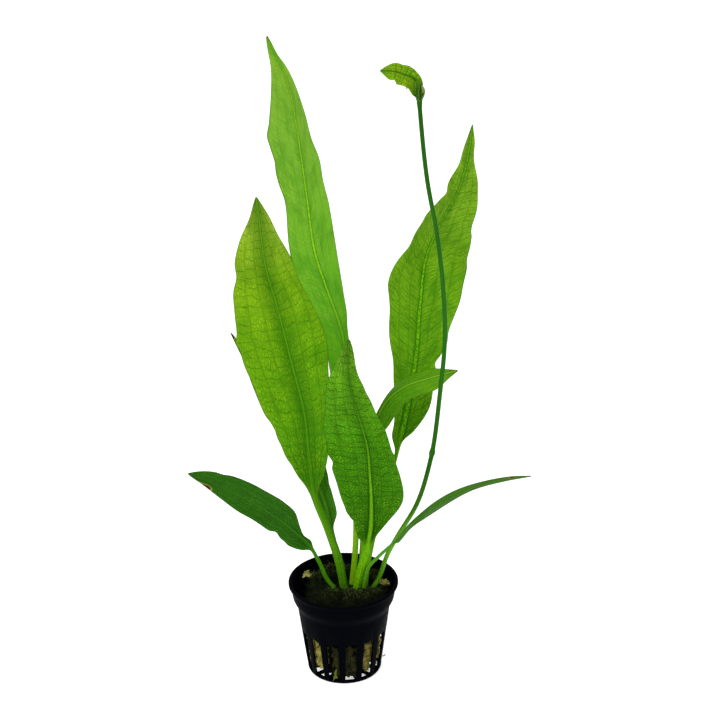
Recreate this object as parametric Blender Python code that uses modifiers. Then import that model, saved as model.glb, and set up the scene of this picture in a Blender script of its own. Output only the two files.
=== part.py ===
"""Potted amazon sword plant: a rosette of long-stalked leaves and one plantlet stalk in a slotted pot.

Metres, +Z up. The origin is the centre of the flat disc under the pot, and the front faces -Y.
Leaf tables are in millimetres, because that is how a plant is measured with a rule.
"""

import math
from dataclasses import dataclass

import bmesh
import bpy
import numpy as np
from mathutils import Matrix, Vector, noise

MM = 0.001

# Pot
RIM_RADIUS = 27.5 * MM
RIM_DEPTH = 1.8 * MM
RIM_WIDTH = 1.5 * MM
POT_HEIGHT = 49.6 * MM
COLLAR_RADIUS = 25.7 * MM
COLLAR_HEIGHT = 42.6 * MM
SHOULDER_RADIUS = 23.1 * MM
SHOULDER_HEIGHT = 35.2 * MM
FOOT_RADIUS = 19.4 * MM
FOOT_HEIGHT = 6.4 * MM
HEEL_RADIUS = 18.9 * MM
HEEL_HEIGHT = 3.4 * MM
BASE_RADIUS = 17.8 * MM
WALL = 1.0 * MM
BASE_THICKNESS = 1.2 * MM
SLOTS = 14
SLOT_PITCH = 2.0 * math.pi / SLOTS
FIRST_SLOT = math.radians(-90.0 + 9.3)
SLOT_WIDTH = 5.7 * MM
SLOT_BOTTOM = 1.7 * MM
SLOT_TOP = 24.5 * MM
WINDOW_INNER_RADIUS = 8.5 * MM
WINDOW_OUTER_RADIUS = 16.4 * MM
BASE_RIB = 1.7 * MM
POT_STEPS = 56

# Block of mineral wool
WOOL_TOP = 40.7 * MM
WOOL_BOTTOM = 1.6 * MM
WOOL_TOP_HALF = 18.9 * MM
WOOL_FOOT_HALF = 11.8 * MM
WOOL_CORNER = 2.7
WOOL_CUTS = 7
WOOL_ROUGHNESS = 0.7 * MM
SCRAPS = 9
SCRAP_RADIUS = 17.1 * MM
SCRAP_THICKNESS = 0.8 * MM
SCRAP_FLARE = 0.055
SCRAP_HALF_ANGLE = 0.26

# Crown, the short rhizome that every stalk grows from
CROWN_CENTRE = Vector((5.5, 3.0, 36.7)) * MM
CROWN_SIZE = Vector((11.0, 8.0, 5.6)) * MM

# Leaves
LEAF_STATIONS = 27
SCALE_STATIONS = 12
CREASE_THICKNESS = 0.55 * MM
BLADE_THICKNESS = 0.34 * MM
BLADE_RAMP = 0.07

# Stalk that carries the plantlet
STALK_POINTS = 30
STALK_FOOT_RADIUS = 1.15 * MM
STALK_TIP_RADIUS = 1.0 * MM
STALK_ROUTE = (
    (13.8, 1.8, 41.9),
    (16.4, 1.8, 46.2),
    (22.6, 0.2, 64.5),
    (27.2, -1.6, 74.8),
    (36.3, -4.5, 93.5),
    (43.0, -7.0, 119.3),
    (47.1, -9.0, 154.1),
    (49.3, -10.0, 185.9),
    (48.3, -10.0, 208.9),
    (45.5, -10.0, 234.0),
    (40.8, -9.0, 261.0),
    (38.0, -7.0, 288.0),
    (37.4, -6.0, 296.0),
)


@dataclass(frozen=True)
class Leaf:
    """One leaf, its blade and stalk grown together.

    rib: points along the middle, from the crown to the tip, in mm.
    widths: (share of the length, left half width, right half width), in mm.
    turn: (share, degrees) that the blade is turned about its rib, 0 facing the front.
    fold: (share, degrees) that each half of the blade is lifted from flat.
    stalk: radius of the stalk, in mm.
    blade: share of the length at which the blade begins.
    wave: height of the margin's waves, in mm, and how many there are.
    stations: sections in the loft.
    """

    name: str
    rib: tuple
    widths: tuple
    turn: tuple
    fold: tuple
    stalk: float
    blade: float
    wave: tuple
    material: str
    stations: int = LEAF_STATIONS


LEAVES = (
    Leaf(
        name="leaf_tall",
        rib=(
            (4.0, 4.6, 42.5), (5.7, 5.0, 56.5), (6.7, 5.6, 74.4), (6.4, 7.2, 95.4),
            (5.1, 9.5, 120.4), (3.8, 11.5, 148.3), (1.5, 13.0, 178.3), (-4.8, 15.0, 198.5),
            (-10.3, 17.5, 216.1), (-14.0, 24.0, 243.6), (-17.7, 31.0, 272.7),
            (-21.8, 38.0, 294.0), (-31.0, 46.0, 314.6),
        ),
        widths=(
            (0.0, 1.4, 1.4), (0.22, 1.6, 1.6), (0.32, 5.0, 3.6), (0.40, 9.4, 4.6),
            (0.48, 10.8, 5.4), (0.56, 10.6, 9.4), (0.64, 11.8, 13.4), (0.73, 11.6, 14.2),
            (0.80, 15.0, 15.2), (0.86, 14.6, 13.1), (0.93, 9.4, 5.9), (1.0, 0.3, 0.3),
        ),
        turn=((0.0, 10), (0.30, 34), (0.44, 44), (0.52, 34), (0.60, 18), (0.70, 26), (0.83, 42), (1.0, 46)),
        fold=((0.0, 8), (0.60, 14), (0.85, 20), (1.0, 20)),
        stalk=1.4, blade=0.26, wave=(0.8, 5), material="young_leaf",
    ),
    Leaf(
        name="leaf_left",
        rib=(
            (0.4, 3.4, 42.8), (-2.1, 3.0, 58.7), (-7.5, 4.8, 76.8), (-13.5, 8.0, 92.9),
            (-16.0, 13.0, 113.4), (-17.3, 17.5, 130.0), (-24.0, 23.0, 161.6),
            (-30.1, 27.0, 188.2), (-34.7, 29.5, 206.3), (-36.7, 31.0, 225.3),
            (-38.2, 33.0, 240.6),
        ),
        widths=(
            (0.0, 2.0, 2.0), (0.22, 1.9, 1.9), (0.29, 4.6, 5.6), (0.35, 10.5, 9.4),
            (0.44, 16.3, 12.8), (0.54, 21.5, 16.4), (0.64, 23.0, 20.6), (0.73, 21.4, 20.8),
            (0.80, 18.4, 16.0), (0.88, 12.7, 11.0), (0.94, 7.2, 6.2), (1.0, 0.3, 0.3),
        ),
        turn=((0.0, 0), (1.0, -6)),
        fold=((0.0, 8), (0.60, 11), (1.0, 12)),
        stalk=2.0, blade=0.24, wave=(0.7, 6), material="old_leaf",
    ),
    Leaf(
        name="leaf_front",
        rib=(
            (6.5, -0.6, 42.4), (8.6, -3.6, 56.4), (11.6, -7.6, 70.2), (13.6, -9.4, 82.2),
            (14.2, -12.0, 98.1), (13.7, -14.0, 114.1), (12.3, -16.0, 132.6),
            (8.8, -17.0, 147.1), (5.2, -18.0, 162.7), (4.0, -19.0, 178.2), (4.6, -20.0, 188.6),
        ),
        widths=(
            (0.0, 2.0, 2.0), (0.17, 2.0, 2.0), (0.24, 5.2, 2.8), (0.30, 8.2, 6.6),
            (0.38, 12.6, 14.0), (0.46, 15.7, 16.8), (0.56, 19.4, 15.0), (0.66, 19.4, 13.2),
            (0.76, 15.9, 12.2), (0.86, 10.0, 7.8), (0.94, 4.4, 3.5), (1.0, 0.3, 0.3),
        ),
        turn=((0.0, 0), (0.35, 0), (0.55, 18), (0.75, 28), (1.0, 30)),
        fold=((0.0, 10), (1.0, 14)),
        stalk=2.0, blade=0.19, wave=(0.8, 7), material="dark_leaf",
    ),
    Leaf(
        name="leaf_right",
        rib=(
            (10.9, 3.0, 42.2), (12.5, 3.6, 55.3), (15.8, 6.2, 71.2), (20.8, 10.0, 88.5),
            (26.7, 14.0, 108.8), (32.2, 18.0, 130.6), (37.5, 24.0, 159.4),
            (40.3, 31.0, 189.3), (43.2, 35.0, 208.7), (50.3, 38.5, 224.0),
            (59.3, 42.6, 240.2), (63.6, 46.0, 256.1), (65.7, 49.0, 269.8),
        ),
        widths=(
            (0.0, 1.2, 1.2), (0.30, 1.4, 1.4), (0.33, 5.4, 1.6), (0.36, 5.0, 5.6),
            (0.41, 7.0, 10.6), (0.47, 10.4, 10.9), (0.54, 14.2, 12.7), (0.60, 16.3, 17.0),
            (0.67, 19.3, 20.0), (0.73, 16.6, 21.4), (0.79, 15.6, 19.2), (0.85, 10.4, 13.8),
            (0.92, 5.2, 4.4), (1.0, 0.3, 0.3),
        ),
        turn=((0.0, 0), (0.50, 0), (0.66, -10), (0.76, -34), (0.86, -28), (0.94, -10), (1.0, -5)),
        fold=((0.0, 8), (0.75, 14), (1.0, 12)),
        stalk=1.2, blade=0.29, wave=(0.8, 6), material="young_leaf",
    ),
    Leaf(
        name="leaf_arching",
        rib=(
            (7.3, 6.0, 42.5), (9.0, 6.0, 57.4), (10.1, 6.0, 75.3), (11.5, 6.0, 94.2),
            (13.7, 6.0, 116.1), (16.7, 6.0, 132.0), (22.1, 5.0, 144.8), (30.8, 3.0, 153.6),
            (42.1, 1.0, 158.7), (56.2, -2.0, 163.9),
        ),
        widths=(
            (0.0, 1.1, 1.1), (0.50, 1.1, 1.2), (0.57, 1.2, 3.2), (0.64, 1.8, 6.7),
            (0.70, 2.0, 7.8), (0.78, 4.8, 7.4), (0.85, 5.8, 7.2), (0.92, 4.4, 5.8),
            (0.97, 1.8, 2.2), (1.0, 0.3, 0.3),
        ),
        turn=((0.0, 10), (0.60, 25), (0.75, 38), (1.0, 40)),
        fold=((0.0, 0), (0.60, -26), (0.80, -34), (1.0, -6)),
        stalk=1.1, blade=0.52, wave=(0.3, 3), material="dark_leaf",
    ),
    Leaf(
        name="leaf_low_left",
        rib=(
            (-3.4, 2.2, 42.4), (-7.1, 1.8, 47.3), (-12.0, 0.0, 60.4), (-17.1, -2.0, 71.6),
            (-24.8, -4.0, 80.7), (-31.9, -6.0, 88.4), (-44.1, -9.0, 99.2),
            (-54.3, -12.0, 107.1), (-64.0, -15.0, 114.2), (-73.2, -18.0, 119.9),
        ),
        widths=(
            (0.0, 1.0, 1.1), (0.25, 1.1, 1.1), (0.29, 3.6, 2.2), (0.35, 6.6, 1.8),
            (0.42, 7.2, 6.9), (0.52, 7.7, 8.6), (0.62, 7.6, 8.3), (0.71, 7.5, 8.0),
            (0.80, 5.6, 7.2), (0.89, 3.5, 5.2), (0.96, 1.6, 2.5), (1.0, 0.3, 0.3),
        ),
        turn=((0.0, -20), (0.40, -36), (1.0, -42)),
        fold=((0.0, 8), (1.0, 8)),
        stalk=1.05, blade=0.24, wave=(0.3, 3), material="dark_leaf",
    ),
    Leaf(
        name="leaf_low_right",
        rib=(
            (9.7, -2.8, 41.0), (10.7, -5.4, 52.3), (12.6, -6.4, 60.3), (17.4, -7.4, 66.6),
            (25.8, -9.4, 76.2), (33.9, -11.0, 86.2), (47.4, -13.0, 98.0),
            (64.0, -14.5, 107.9), (80.1, -16.0, 113.1), (91.0, -17.0, 114.6),
        ),
        widths=(
            (0.0, 0.9, 0.9), (0.31, 1.0, 1.0), (0.37, 1.8, 5.0), (0.46, 3.6, 4.4),
            (0.56, 5.2, 7.0), (0.66, 5.2, 6.9), (0.76, 4.2, 4.7), (0.86, 2.8, 4.1),
            (0.94, 1.5, 2.4), (1.0, 0.3, 0.3),
        ),
        turn=((0.0, 60), (0.5, 92), (1.0, 96)),
        fold=((0.0, 8), (1.0, 10)),
        stalk=0.95, blade=0.31, wave=(0.2, 3), material="dark_leaf",
    ),
    Leaf(
        name="leaf_behind",
        rib=(
            (0.2, 8.2, 42.1), (-2.4, 9.4, 56.7), (-5.6, 12.0, 72.3), (-9.1, 15.6, 86.8),
            (-14.2, 20.0, 100.2), (-21.4, 24.5, 115.1), (-31.0, 28.5, 130.9),
            (-40.4, 31.5, 147.2), (-47.5, 33.5, 159.0), (-53.3, 35.0, 170.2),
        ),
        widths=(
            (0.0, 1.1, 1.1), (0.19, 1.2, 1.4), (0.25, 3.0, 4.3), (0.34, 5.4, 5.2),
            (0.46, 7.2, 7.6), (0.56, 8.4, 8.0), (0.66, 7.6, 7.6), (0.78, 5.2, 5.6),
            (0.90, 2.6, 3.0), (1.0, 0.3, 0.3),
        ),
        turn=((0.0, -10), (1.0, -10)),
        fold=((0.0, 10), (1.0, 10)),
        stalk=1.2, blade=0.20, wave=(0.3, 4), material="old_leaf",
    ),
    Leaf(
        name="plantlet_leaf",
        rib=(
            (36.5, -6.7, 296.8), (37.0, -6.8, 301.0), (36.1, -7.2, 305.5), (33.7, -7.9, 307.9),
            (30.9, -8.7, 309.0), (28.1, -9.7, 310.4), (24.3, -11.0, 311.4), (19.9, -12.0, 311.7),
        ),
        widths=(
            (0.0, 1.1, 0.5), (0.12, 2.6, 0.9), (0.28, 4.0, 2.3), (0.42, 6.0, 3.2),
            (0.54, 5.5, 4.0), (0.66, 5.3, 4.4), (0.78, 4.6, 3.6), (0.90, 2.6, 2.0),
            (1.0, 0.2, 0.2),
        ),
        turn=((0.0, -4), (0.5, -14), (1.0, -10)),
        fold=((0.0, 12), (1.0, 10)),
        stalk=0.4, blade=0.02, wave=(0.35, 4), material="plantlet",
    ),
    Leaf(
        name="plantlet_bract",
        rib=((37.8, -6.2, 296.7), (38.5, -6.2, 299.0), (38.8, -6.5, 301.6), (38.4, -7.1, 304.0)),
        widths=((0.0, 0.35, 0.35), (0.3, 1.3, 1.1), (0.6, 1.5, 1.3), (1.0, 0.2, 0.2)),
        turn=((0.0, -56), (1.0, -60)),
        fold=((0.0, 26), (1.0, 30)),
        stalk=0.35, blade=0.02, wave=(0.0, 1), material="bract", stations=SCALE_STATIONS,
    ),
    Leaf(
        name="plantlet_bud",
        rib=((37.2, -5.2, 296.7), (37.5, -4.4, 299.4), (37.5, -4.2, 302.0), (37.3, -4.6, 304.4)),
        widths=((0.0, 0.35, 0.35), (0.35, 1.1, 1.1), (0.7, 1.4, 1.4), (1.0, 0.2, 0.2)),
        turn=((0.0, 0), (1.0, 0)),
        fold=((0.0, 30), (1.0, 40)),
        stalk=0.35, blade=0.02, wave=(0.0, 1), material="plantlet", stations=SCALE_STATIONS,
    ),
)

# Base colour, roughness
MATERIALS = {
    "pot_plastic": ((0.012, 0.013, 0.018), 0.34),
    "wool": ((0.055, 0.060, 0.022), 0.95),
    "dry_wool": ((0.42, 0.34, 0.14), 0.95),
    "crown": ((0.16, 0.22, 0.05), 0.60),
    "young_leaf": ((0.17, 0.40, 0.03), 0.42),
    "old_leaf": ((0.14, 0.33, 0.02), 0.42),
    "dark_leaf": ((0.07, 0.25, 0.015), 0.38),
    "stalk": ((0.025, 0.16, 0.018), 0.40),
    "plantlet": ((0.19, 0.36, 0.02), 0.42),
    "bract": ((0.36, 0.45, 0.20), 0.50),
}


def clear_scene():
    """Removes every object, so the model starts from nothing."""
    for item in list(bpy.data.objects):
        bpy.data.objects.remove(item, do_unlink=True)


def make_material(name):
    """A Principled material with the colour and roughness of that finish."""
    colour, roughness = MATERIALS[name]
    material = bpy.data.materials.new(name)
    material.use_nodes = True
    shader = material.node_tree.nodes["Principled BSDF"]
    shader.inputs["Base Color"].default_value = (*colour, 1.0)
    shader.inputs["Roughness"].default_value = roughness
    shader.inputs["Metallic"].default_value = 0.0
    return material


def add_object(name, mesh, collection, material):
    """Puts a mesh in the scene under its own name."""
    item = bpy.data.objects.new(name, mesh)
    mesh.materials.append(material)
    collection.objects.link(item)
    return item


def hide_cutter(item):
    """Marks a cutter as a guide that isn't part of the model."""
    item.hide_render = True
    item.display_type = "WIRE"


def subtract(item, cutter):
    """Cuts one object's shape out of another."""
    cut = item.modifiers.new("cut", "BOOLEAN")
    cut.operation = "DIFFERENCE"
    cut.solver = "EXACT"
    cut.object = cutter


def curve_at(knots, values, share):
    """A smooth curve through values at knots, read at each share."""
    knots = np.asarray(knots, float)
    values = np.asarray(values, float)
    flat = values.ndim == 1
    if flat:
        values = values[:, None]
    steps = np.diff(knots)[:, None]
    secants = np.diff(values, axis=0) / steps
    slopes = np.vstack([secants[:1], secants[-1:]]) if len(knots) == 2 else np.vstack(
        [
            secants[:1],
            (secants[:-1] * steps[1:] + secants[1:] * steps[:-1]) / (steps[1:] + steps[:-1]),
            secants[-1:],
        ]
    )
    share = np.asarray(share, float)
    cell = np.clip(np.searchsorted(knots, share, side="right") - 1, 0, len(knots) - 2)
    span = steps[cell]
    along = ((share - knots[cell])[:, None]) / span
    rise = along * along * (3.0 - 2.0 * along)
    start = along * (1.0 - along) ** 2
    finish = along * along * (along - 1.0)
    found = (
        values[cell] * (1.0 - rise)
        + values[cell + 1] * rise
        + slopes[cell] * span * start
        + slopes[cell + 1] * span * finish
    )
    return found[:, 0] if flat else found


def even_route(points, count):
    """Points spaced evenly along a smooth curve through the given ones, with its directions."""
    points = np.asarray(points, float)
    chords = np.linalg.norm(np.diff(points, axis=0), axis=1)
    knots = np.concatenate([[0.0], np.cumsum(chords)])
    fine = np.linspace(0.0, knots[-1], 400)
    dense = curve_at(knots, points, fine)
    lengths = np.concatenate([[0.0], np.cumsum(np.linalg.norm(np.diff(dense, axis=0), axis=1))])
    wanted = np.linspace(0.0, lengths[-1], count)
    where = np.interp(wanted, lengths, fine)
    places = curve_at(knots, points, where)
    ahead = curve_at(knots, points, np.minimum(where + 0.01, knots[-1]))
    behind = curve_at(knots, points, np.maximum(where - 0.01, 0.0))
    directions = ahead - behind
    return places, directions / np.linalg.norm(directions, axis=1)[:, None]


def stations_at(stations, column, share):
    """One column of a leaf's table, read smoothly at each share of its length."""
    knots = [row[0] for row in stations]
    values = [row[column] for row in stations]
    return curve_at(knots, values, share)


def across_and_face(directions, turn):
    """For each direction along a rib, the blade's rightward and facing directions."""
    front = np.array([0.0, -1.0, 0.0])
    across = np.cross(directions, front)
    across /= np.linalg.norm(across, axis=1)[:, None]
    face = np.cross(across, directions)
    face *= np.where(face[:, 1] > 0.0, -1.0, 1.0)[:, None]
    cosine = np.cos(turn)[:, None]
    sine = np.sin(turn)[:, None]
    return across * cosine + face * sine, face * cosine - across * sine


def leaf_mesh(leaf):
    """A closed loft from a round stalk to a thin folded blade that ends in a point."""
    share = np.linspace(0.0, 1.0, leaf.stations)
    places, directions = even_route(leaf.rib, leaf.stations)
    turn = np.radians(stations_at(leaf.turn, 1, share))
    fold = np.radians(stations_at(leaf.fold, 1, share))
    across, face = across_and_face(directions, turn)
    left = np.maximum(stations_at(leaf.widths, 1, share), 0.2)
    right = np.maximum(stations_at(leaf.widths, 2, share), 0.2)
    height, waves = leaf.wave
    bladed = np.clip((share - leaf.blade) / BLADE_RAMP, 0.0, 1.0)
    bladed = bladed * bladed * (3.0 - 2.0 * bladed)
    shrink = np.clip((1.0 - share) / 0.9, 0.12, 1.0)
    crease = (leaf.stalk * (1.0 - bladed) + CREASE_THICKNESS / MM * bladed) * shrink
    mesh = bmesh.new()
    rings = []
    for i in range(leaf.stations - 1):
        ring = []
        lift = height * bladed[i] * math.sin(2.0 * math.pi * waves * share[i])
        drop = height * bladed[i] * math.sin(2.0 * math.pi * waves * share[i] + 2.0)
        for corner in range(8):
            angle = corner * math.pi / 4.0
            side = math.cos(angle)
            width = right[i] if side > 0 else left[i]
            out = width * math.copysign((0.0, 0.55, 1.0)[round(abs(side) * 1.6)], side)
            if abs(side) < 0.1:
                out = 0.0
            thick = crease[i] if abs(side) < 0.1 else BLADE_THICKNESS / MM * shrink[i]
            if abs(side) > 0.9:
                thick = 0.0
            edge = (lift if side > 0 else drop) * (abs(out) / max(width, 0.2)) ** 2
            blade_out = out * math.cos(fold[i])
            blade_up = abs(out) * math.sin(fold[i]) + edge + thick * np.sign(round(math.sin(angle), 3))
            round_out = leaf.stalk * shrink[i] * side
            round_up = leaf.stalk * shrink[i] * math.sin(angle)
            sideways = round_out * (1.0 - bladed[i]) + blade_out * bladed[i]
            upward = round_up * (1.0 - bladed[i]) + blade_up * bladed[i]
            point = places[i] + across[i] * sideways + face[i] * upward
            ring.append(mesh.verts.new(Vector(point) * MM))
        rings.append(ring)
    tip = mesh.verts.new(Vector(places[-1]) * MM)
    for first, second in zip(rings[:-1], rings[1:]):
        for k in range(8):
            mesh.faces.new((first[k], first[(k + 1) % 8], second[(k + 1) % 8], second[k]))
    for k in range(8):
        mesh.faces.new((rings[-1][k], rings[-1][(k + 1) % 8], tip))
    mesh.faces.new(rings[0])
    bmesh.ops.triangulate(mesh, faces=mesh.faces[:])
    bmesh.ops.recalc_face_normals(mesh, faces=mesh.faces[:])
    made = bpy.data.meshes.new(leaf.name)
    mesh.to_mesh(made)
    mesh.free()
    made.shade_smooth()
    return made


def pot_profile():
    """The pot's section, from the middle of its floor up the inside and down the outside."""
    rise = COLLAR_HEIGHT - SHOULDER_HEIGHT
    flare = COLLAR_RADIUS - SHOULDER_RADIUS
    # The collar leans out below the rim in an S: (share of its rise, share of its flare).
    collar = [
        (SHOULDER_RADIUS + flare * out, SHOULDER_HEIGHT + rise * up)
        for up, out in ((0.0, 0.0), (0.26, 0.14), (0.58, 0.62), (1.0, 1.0))
    ]
    under_rim = POT_HEIGHT - RIM_DEPTH
    edge = 0.2 * RIM_DEPTH
    return (
        (0.0, BASE_THICKNESS),
        (BASE_RADIUS - WALL, BASE_THICKNESS),
        (HEEL_RADIUS - WALL, HEEL_HEIGHT),
        (FOOT_RADIUS - WALL, FOOT_HEIGHT),
        *((radius - WALL, height) for radius, height in collar),
        (COLLAR_RADIUS - 0.6 * WALL, under_rim),
        (RIM_RADIUS - RIM_WIDTH - edge, POT_HEIGHT - edge),
        (RIM_RADIUS - RIM_WIDTH, POT_HEIGHT),
        (RIM_RADIUS - edge, POT_HEIGHT),
        (RIM_RADIUS, POT_HEIGHT - edge),
        (RIM_RADIUS, under_rim + edge),
        (RIM_RADIUS - edge, under_rim),
        (COLLAR_RADIUS + edge, under_rim),
        *reversed(collar),
        (FOOT_RADIUS, FOOT_HEIGHT),
        (HEEL_RADIUS, HEEL_HEIGHT),
        (BASE_RADIUS + 0.7 * WALL, 0.7 * WALL),
        (BASE_RADIUS, 0.0),
        (0.0, 0.0),
    )


def wedge(cutters, angle, inner, outer, low, high, inner_width, outer_width):
    """Adds one tapered block, pointing outwards at an angle, to a cutter mesh."""
    made = bmesh.ops.create_cube(cutters, size=1.0)
    turn = Matrix.Rotation(angle, 3, "Z")
    for corner in made["verts"]:
        far = corner.co.x > 0.0
        radius = outer if far else inner
        width = outer_width if far else inner_width
        level = high if corner.co.z > 0.0 else low
        side = math.copysign(width / 2.0, corner.co.y)
        corner.co = turn @ Vector((radius, side, level))


def make_pot(collection, cutter_collection, material):
    """One moulded net pot: turned wall and rim, cut through by slots and floor windows."""
    profile = bmesh.new()
    points = [profile.verts.new((x, 0.0, z)) for x, z in pot_profile()]
    for first, second in zip(points[:-1], points[1:]):
        profile.edges.new((first, second))
    mesh = bpy.data.meshes.new("pot")
    profile.to_mesh(mesh)
    profile.free()
    pot = add_object("pot", mesh, collection, material)
    screw = pot.modifiers.new("turn", "SCREW")
    screw.axis = "Z"
    screw.angle = 2.0 * math.pi
    screw.steps = POT_STEPS
    screw.render_steps = POT_STEPS
    screw.use_merge_vertices = True
    screw.merge_threshold = 0.00002
    screw.use_smooth_shade = True
    cutters = bmesh.new()
    for slot in range(SLOTS):
        angle = FIRST_SLOT + slot * SLOT_PITCH
        wedge(cutters, angle, WINDOW_OUTER_RADIUS, RIM_RADIUS, SLOT_BOTTOM, SLOT_TOP, SLOT_WIDTH, SLOT_WIDTH)
        inner_width = WINDOW_INNER_RADIUS * SLOT_PITCH - BASE_RIB
        outer_width = WINDOW_OUTER_RADIUS * SLOT_PITCH - BASE_RIB
        wedge(
            cutters, angle, WINDOW_INNER_RADIUS, WINDOW_OUTER_RADIUS,
            -1.0 * MM, BASE_THICKNESS + 0.3 * MM, inner_width, outer_width,
        )
    bmesh.ops.recalc_face_normals(cutters, faces=cutters.faces[:])
    cutter_mesh = bpy.data.meshes.new("pot_openings")
    cutters.to_mesh(cutter_mesh)
    cutters.free()
    cutter = add_object("pot_openings", cutter_mesh, cutter_collection, material)
    hide_cutter(cutter)
    subtract(pot, cutter)
    return pot


def crown_mesh(name, grown):
    """A low lumpy bulb. grown makes the larger one that its pocket is cut with."""
    mesh = bmesh.new()
    bmesh.ops.create_uvsphere(mesh, u_segments=16, v_segments=10, radius=1.0)
    for point in mesh.verts:
        lump = 1.0 + 0.05 * noise.noise(point.co * 2.3 + Vector((4.0, 1.0, 7.0)))
        size = CROWN_SIZE + Vector((grown, grown, grown))
        point.co = CROWN_CENTRE + Vector((a * b for a, b in zip(point.co * lump, size)))
    made = bpy.data.meshes.new(name)
    mesh.to_mesh(made)
    mesh.free()
    made.shade_smooth()
    return made


def make_crown(collection, material):
    """The short rhizome, sunk in the top of the wool."""
    return add_object("crown", crown_mesh("crown", 0.0), collection, material)


def make_wool(collection, cutter_collection, material):
    """The block of wool: a rounded square that narrows to the foot, with a rough surface."""
    mesh = bmesh.new()
    bmesh.ops.create_cube(mesh, size=2.0)
    bmesh.ops.subdivide_edges(mesh, edges=mesh.edges[:], cuts=WOOL_CUTS, use_grid_fill=True)
    for point in mesh.verts:
        x, y, z = point.co
        share = (z + 1.0) / 2.0
        half = WOOL_FOOT_HALF + (WOOL_TOP_HALF - WOOL_FOOT_HALF) * share
        reach = (abs(x) ** WOOL_CORNER + abs(y) ** WOOL_CORNER) ** (1.0 / WOOL_CORNER)
        square = max(abs(x), abs(y))
        squeeze = half * (square / reach if reach > 0.0 else 1.0)
        rough = WOOL_ROUGHNESS * noise.noise(point.co * 3.1 + Vector((2.0, 5.0, 1.0)))
        level = WOOL_BOTTOM + (WOOL_TOP - WOOL_BOTTOM) * share
        point.co = Vector((x * (squeeze + rough), y * (squeeze + rough), level))
        if share > 0.99:
            point.co.z += rough
    made = bpy.data.meshes.new("wool_plug")
    mesh.to_mesh(made)
    mesh.free()
    wool = add_object("wool_plug", made, collection, material)
    pocket = add_object("crown_pocket", crown_mesh("crown_pocket", 0.5 * MM), cutter_collection, material)
    hide_cutter(pocket)
    subtract(wool, pocket)
    return wool


def make_scrap(index, collection, material):
    """One torn scrap of wool, curled round the foot of the block behind the slots."""
    name = f"wool_scrap_{index + 1}"
    middle = FIRST_SLOT + SLOT_PITCH * (index * SLOTS / SCRAPS)
    low = (3.0 + 1.2 * (index % 3)) * MM
    high = (15.5 + 2.4 * ((index * 5) % 4)) * MM
    mesh = bmesh.new()
    bmesh.ops.create_grid(mesh, x_segments=4, y_segments=5, size=1.0)
    for point in mesh.verts:
        x, y, _ = point.co
        seed = Vector((x * 1.7 + index * 3.0, y * 1.3, index * 1.9))
        angle = middle + SCRAP_HALF_ANGLE * x * (0.86 + 0.14 * noise.noise(seed * 2.0))
        level = low + (high - low) * (y + 1.0) / 2.0
        level += 1.2 * MM * noise.noise(seed + Vector((9.0, 0.0, 0.0))) * (1.0 if y > 0 else 0.3)
        radius = SCRAP_RADIUS + 0.5 * MM * noise.noise(seed * 1.5) + SCRAP_FLARE * (level - low)
        point.co = Vector((radius * math.cos(angle), radius * math.sin(angle), level))
    made = bpy.data.meshes.new(name)
    mesh.to_mesh(made)
    mesh.free()
    scrap = add_object(name, made, collection, material)
    thicken = scrap.modifiers.new("thickness", "SOLIDIFY")
    thicken.thickness = SCRAP_THICKNESS
    thicken.offset = 0.0
    return scrap


def make_stalk(collection, material):
    """The long tapered stalk that carries the plantlet, a tube on a smooth route."""
    places, _ = even_route(STALK_ROUTE, STALK_POINTS)
    curve = bpy.data.curves.new("flower_stalk", "CURVE")
    curve.dimensions = "3D"
    curve.bevel_depth = STALK_FOOT_RADIUS
    curve.bevel_resolution = 2
    curve.use_fill_caps = True
    spline = curve.splines.new("POLY")
    spline.points.add(STALK_POINTS - 1)
    for index, point in enumerate(spline.points):
        share = index / (STALK_POINTS - 1)
        point.co = (*(Vector(places[index]) * MM), 1.0)
        point.radius = 1.0 + (STALK_TIP_RADIUS / STALK_FOOT_RADIUS - 1.0) * share
    stalk = bpy.data.objects.new("flower_stalk", curve)
    curve.materials.append(material)
    collection.objects.link(stalk)
    return stalk


def main():
    """Builds the pot, then what stands in it, then the plant from its crown outwards."""
    clear_scene()
    parts = bpy.data.collections.new("potted_amazon_sword")
    cutters = bpy.data.collections.new("cutters")
    bpy.context.scene.collection.children.link(parts)
    bpy.context.scene.collection.children.link(cutters)
    finishes = {name: make_material(name) for name in MATERIALS}
    make_pot(parts, cutters, finishes["pot_plastic"])
    make_wool(parts, cutters, finishes["wool"])
    for index in range(SCRAPS):
        make_scrap(index, parts, finishes["dry_wool"])
    make_crown(parts, finishes["crown"])
    for leaf in LEAVES:
        add_object(leaf.name, leaf_mesh(leaf), parts, finishes[leaf.material])
    make_stalk(parts, finishes["stalk"])


main()
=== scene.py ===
"""Potted amazon sword plant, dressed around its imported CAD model.

The frame gives the pieces' places and the space they may fill. Each class here makes one sub-assembly
with its fine shape, and each finish is named for the real material it stands for. Metres, +Z up,
with the front of the plant towards -Y. Tables of the leaves, the stalk and the shreds are in millimetres.
"""

import logging
import math
from dataclasses import dataclass, replace
from enum import Enum
from typing import Any

import bmesh
import bpy
import numpy as np
from mathutils import Matrix, Vector, noise


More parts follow.
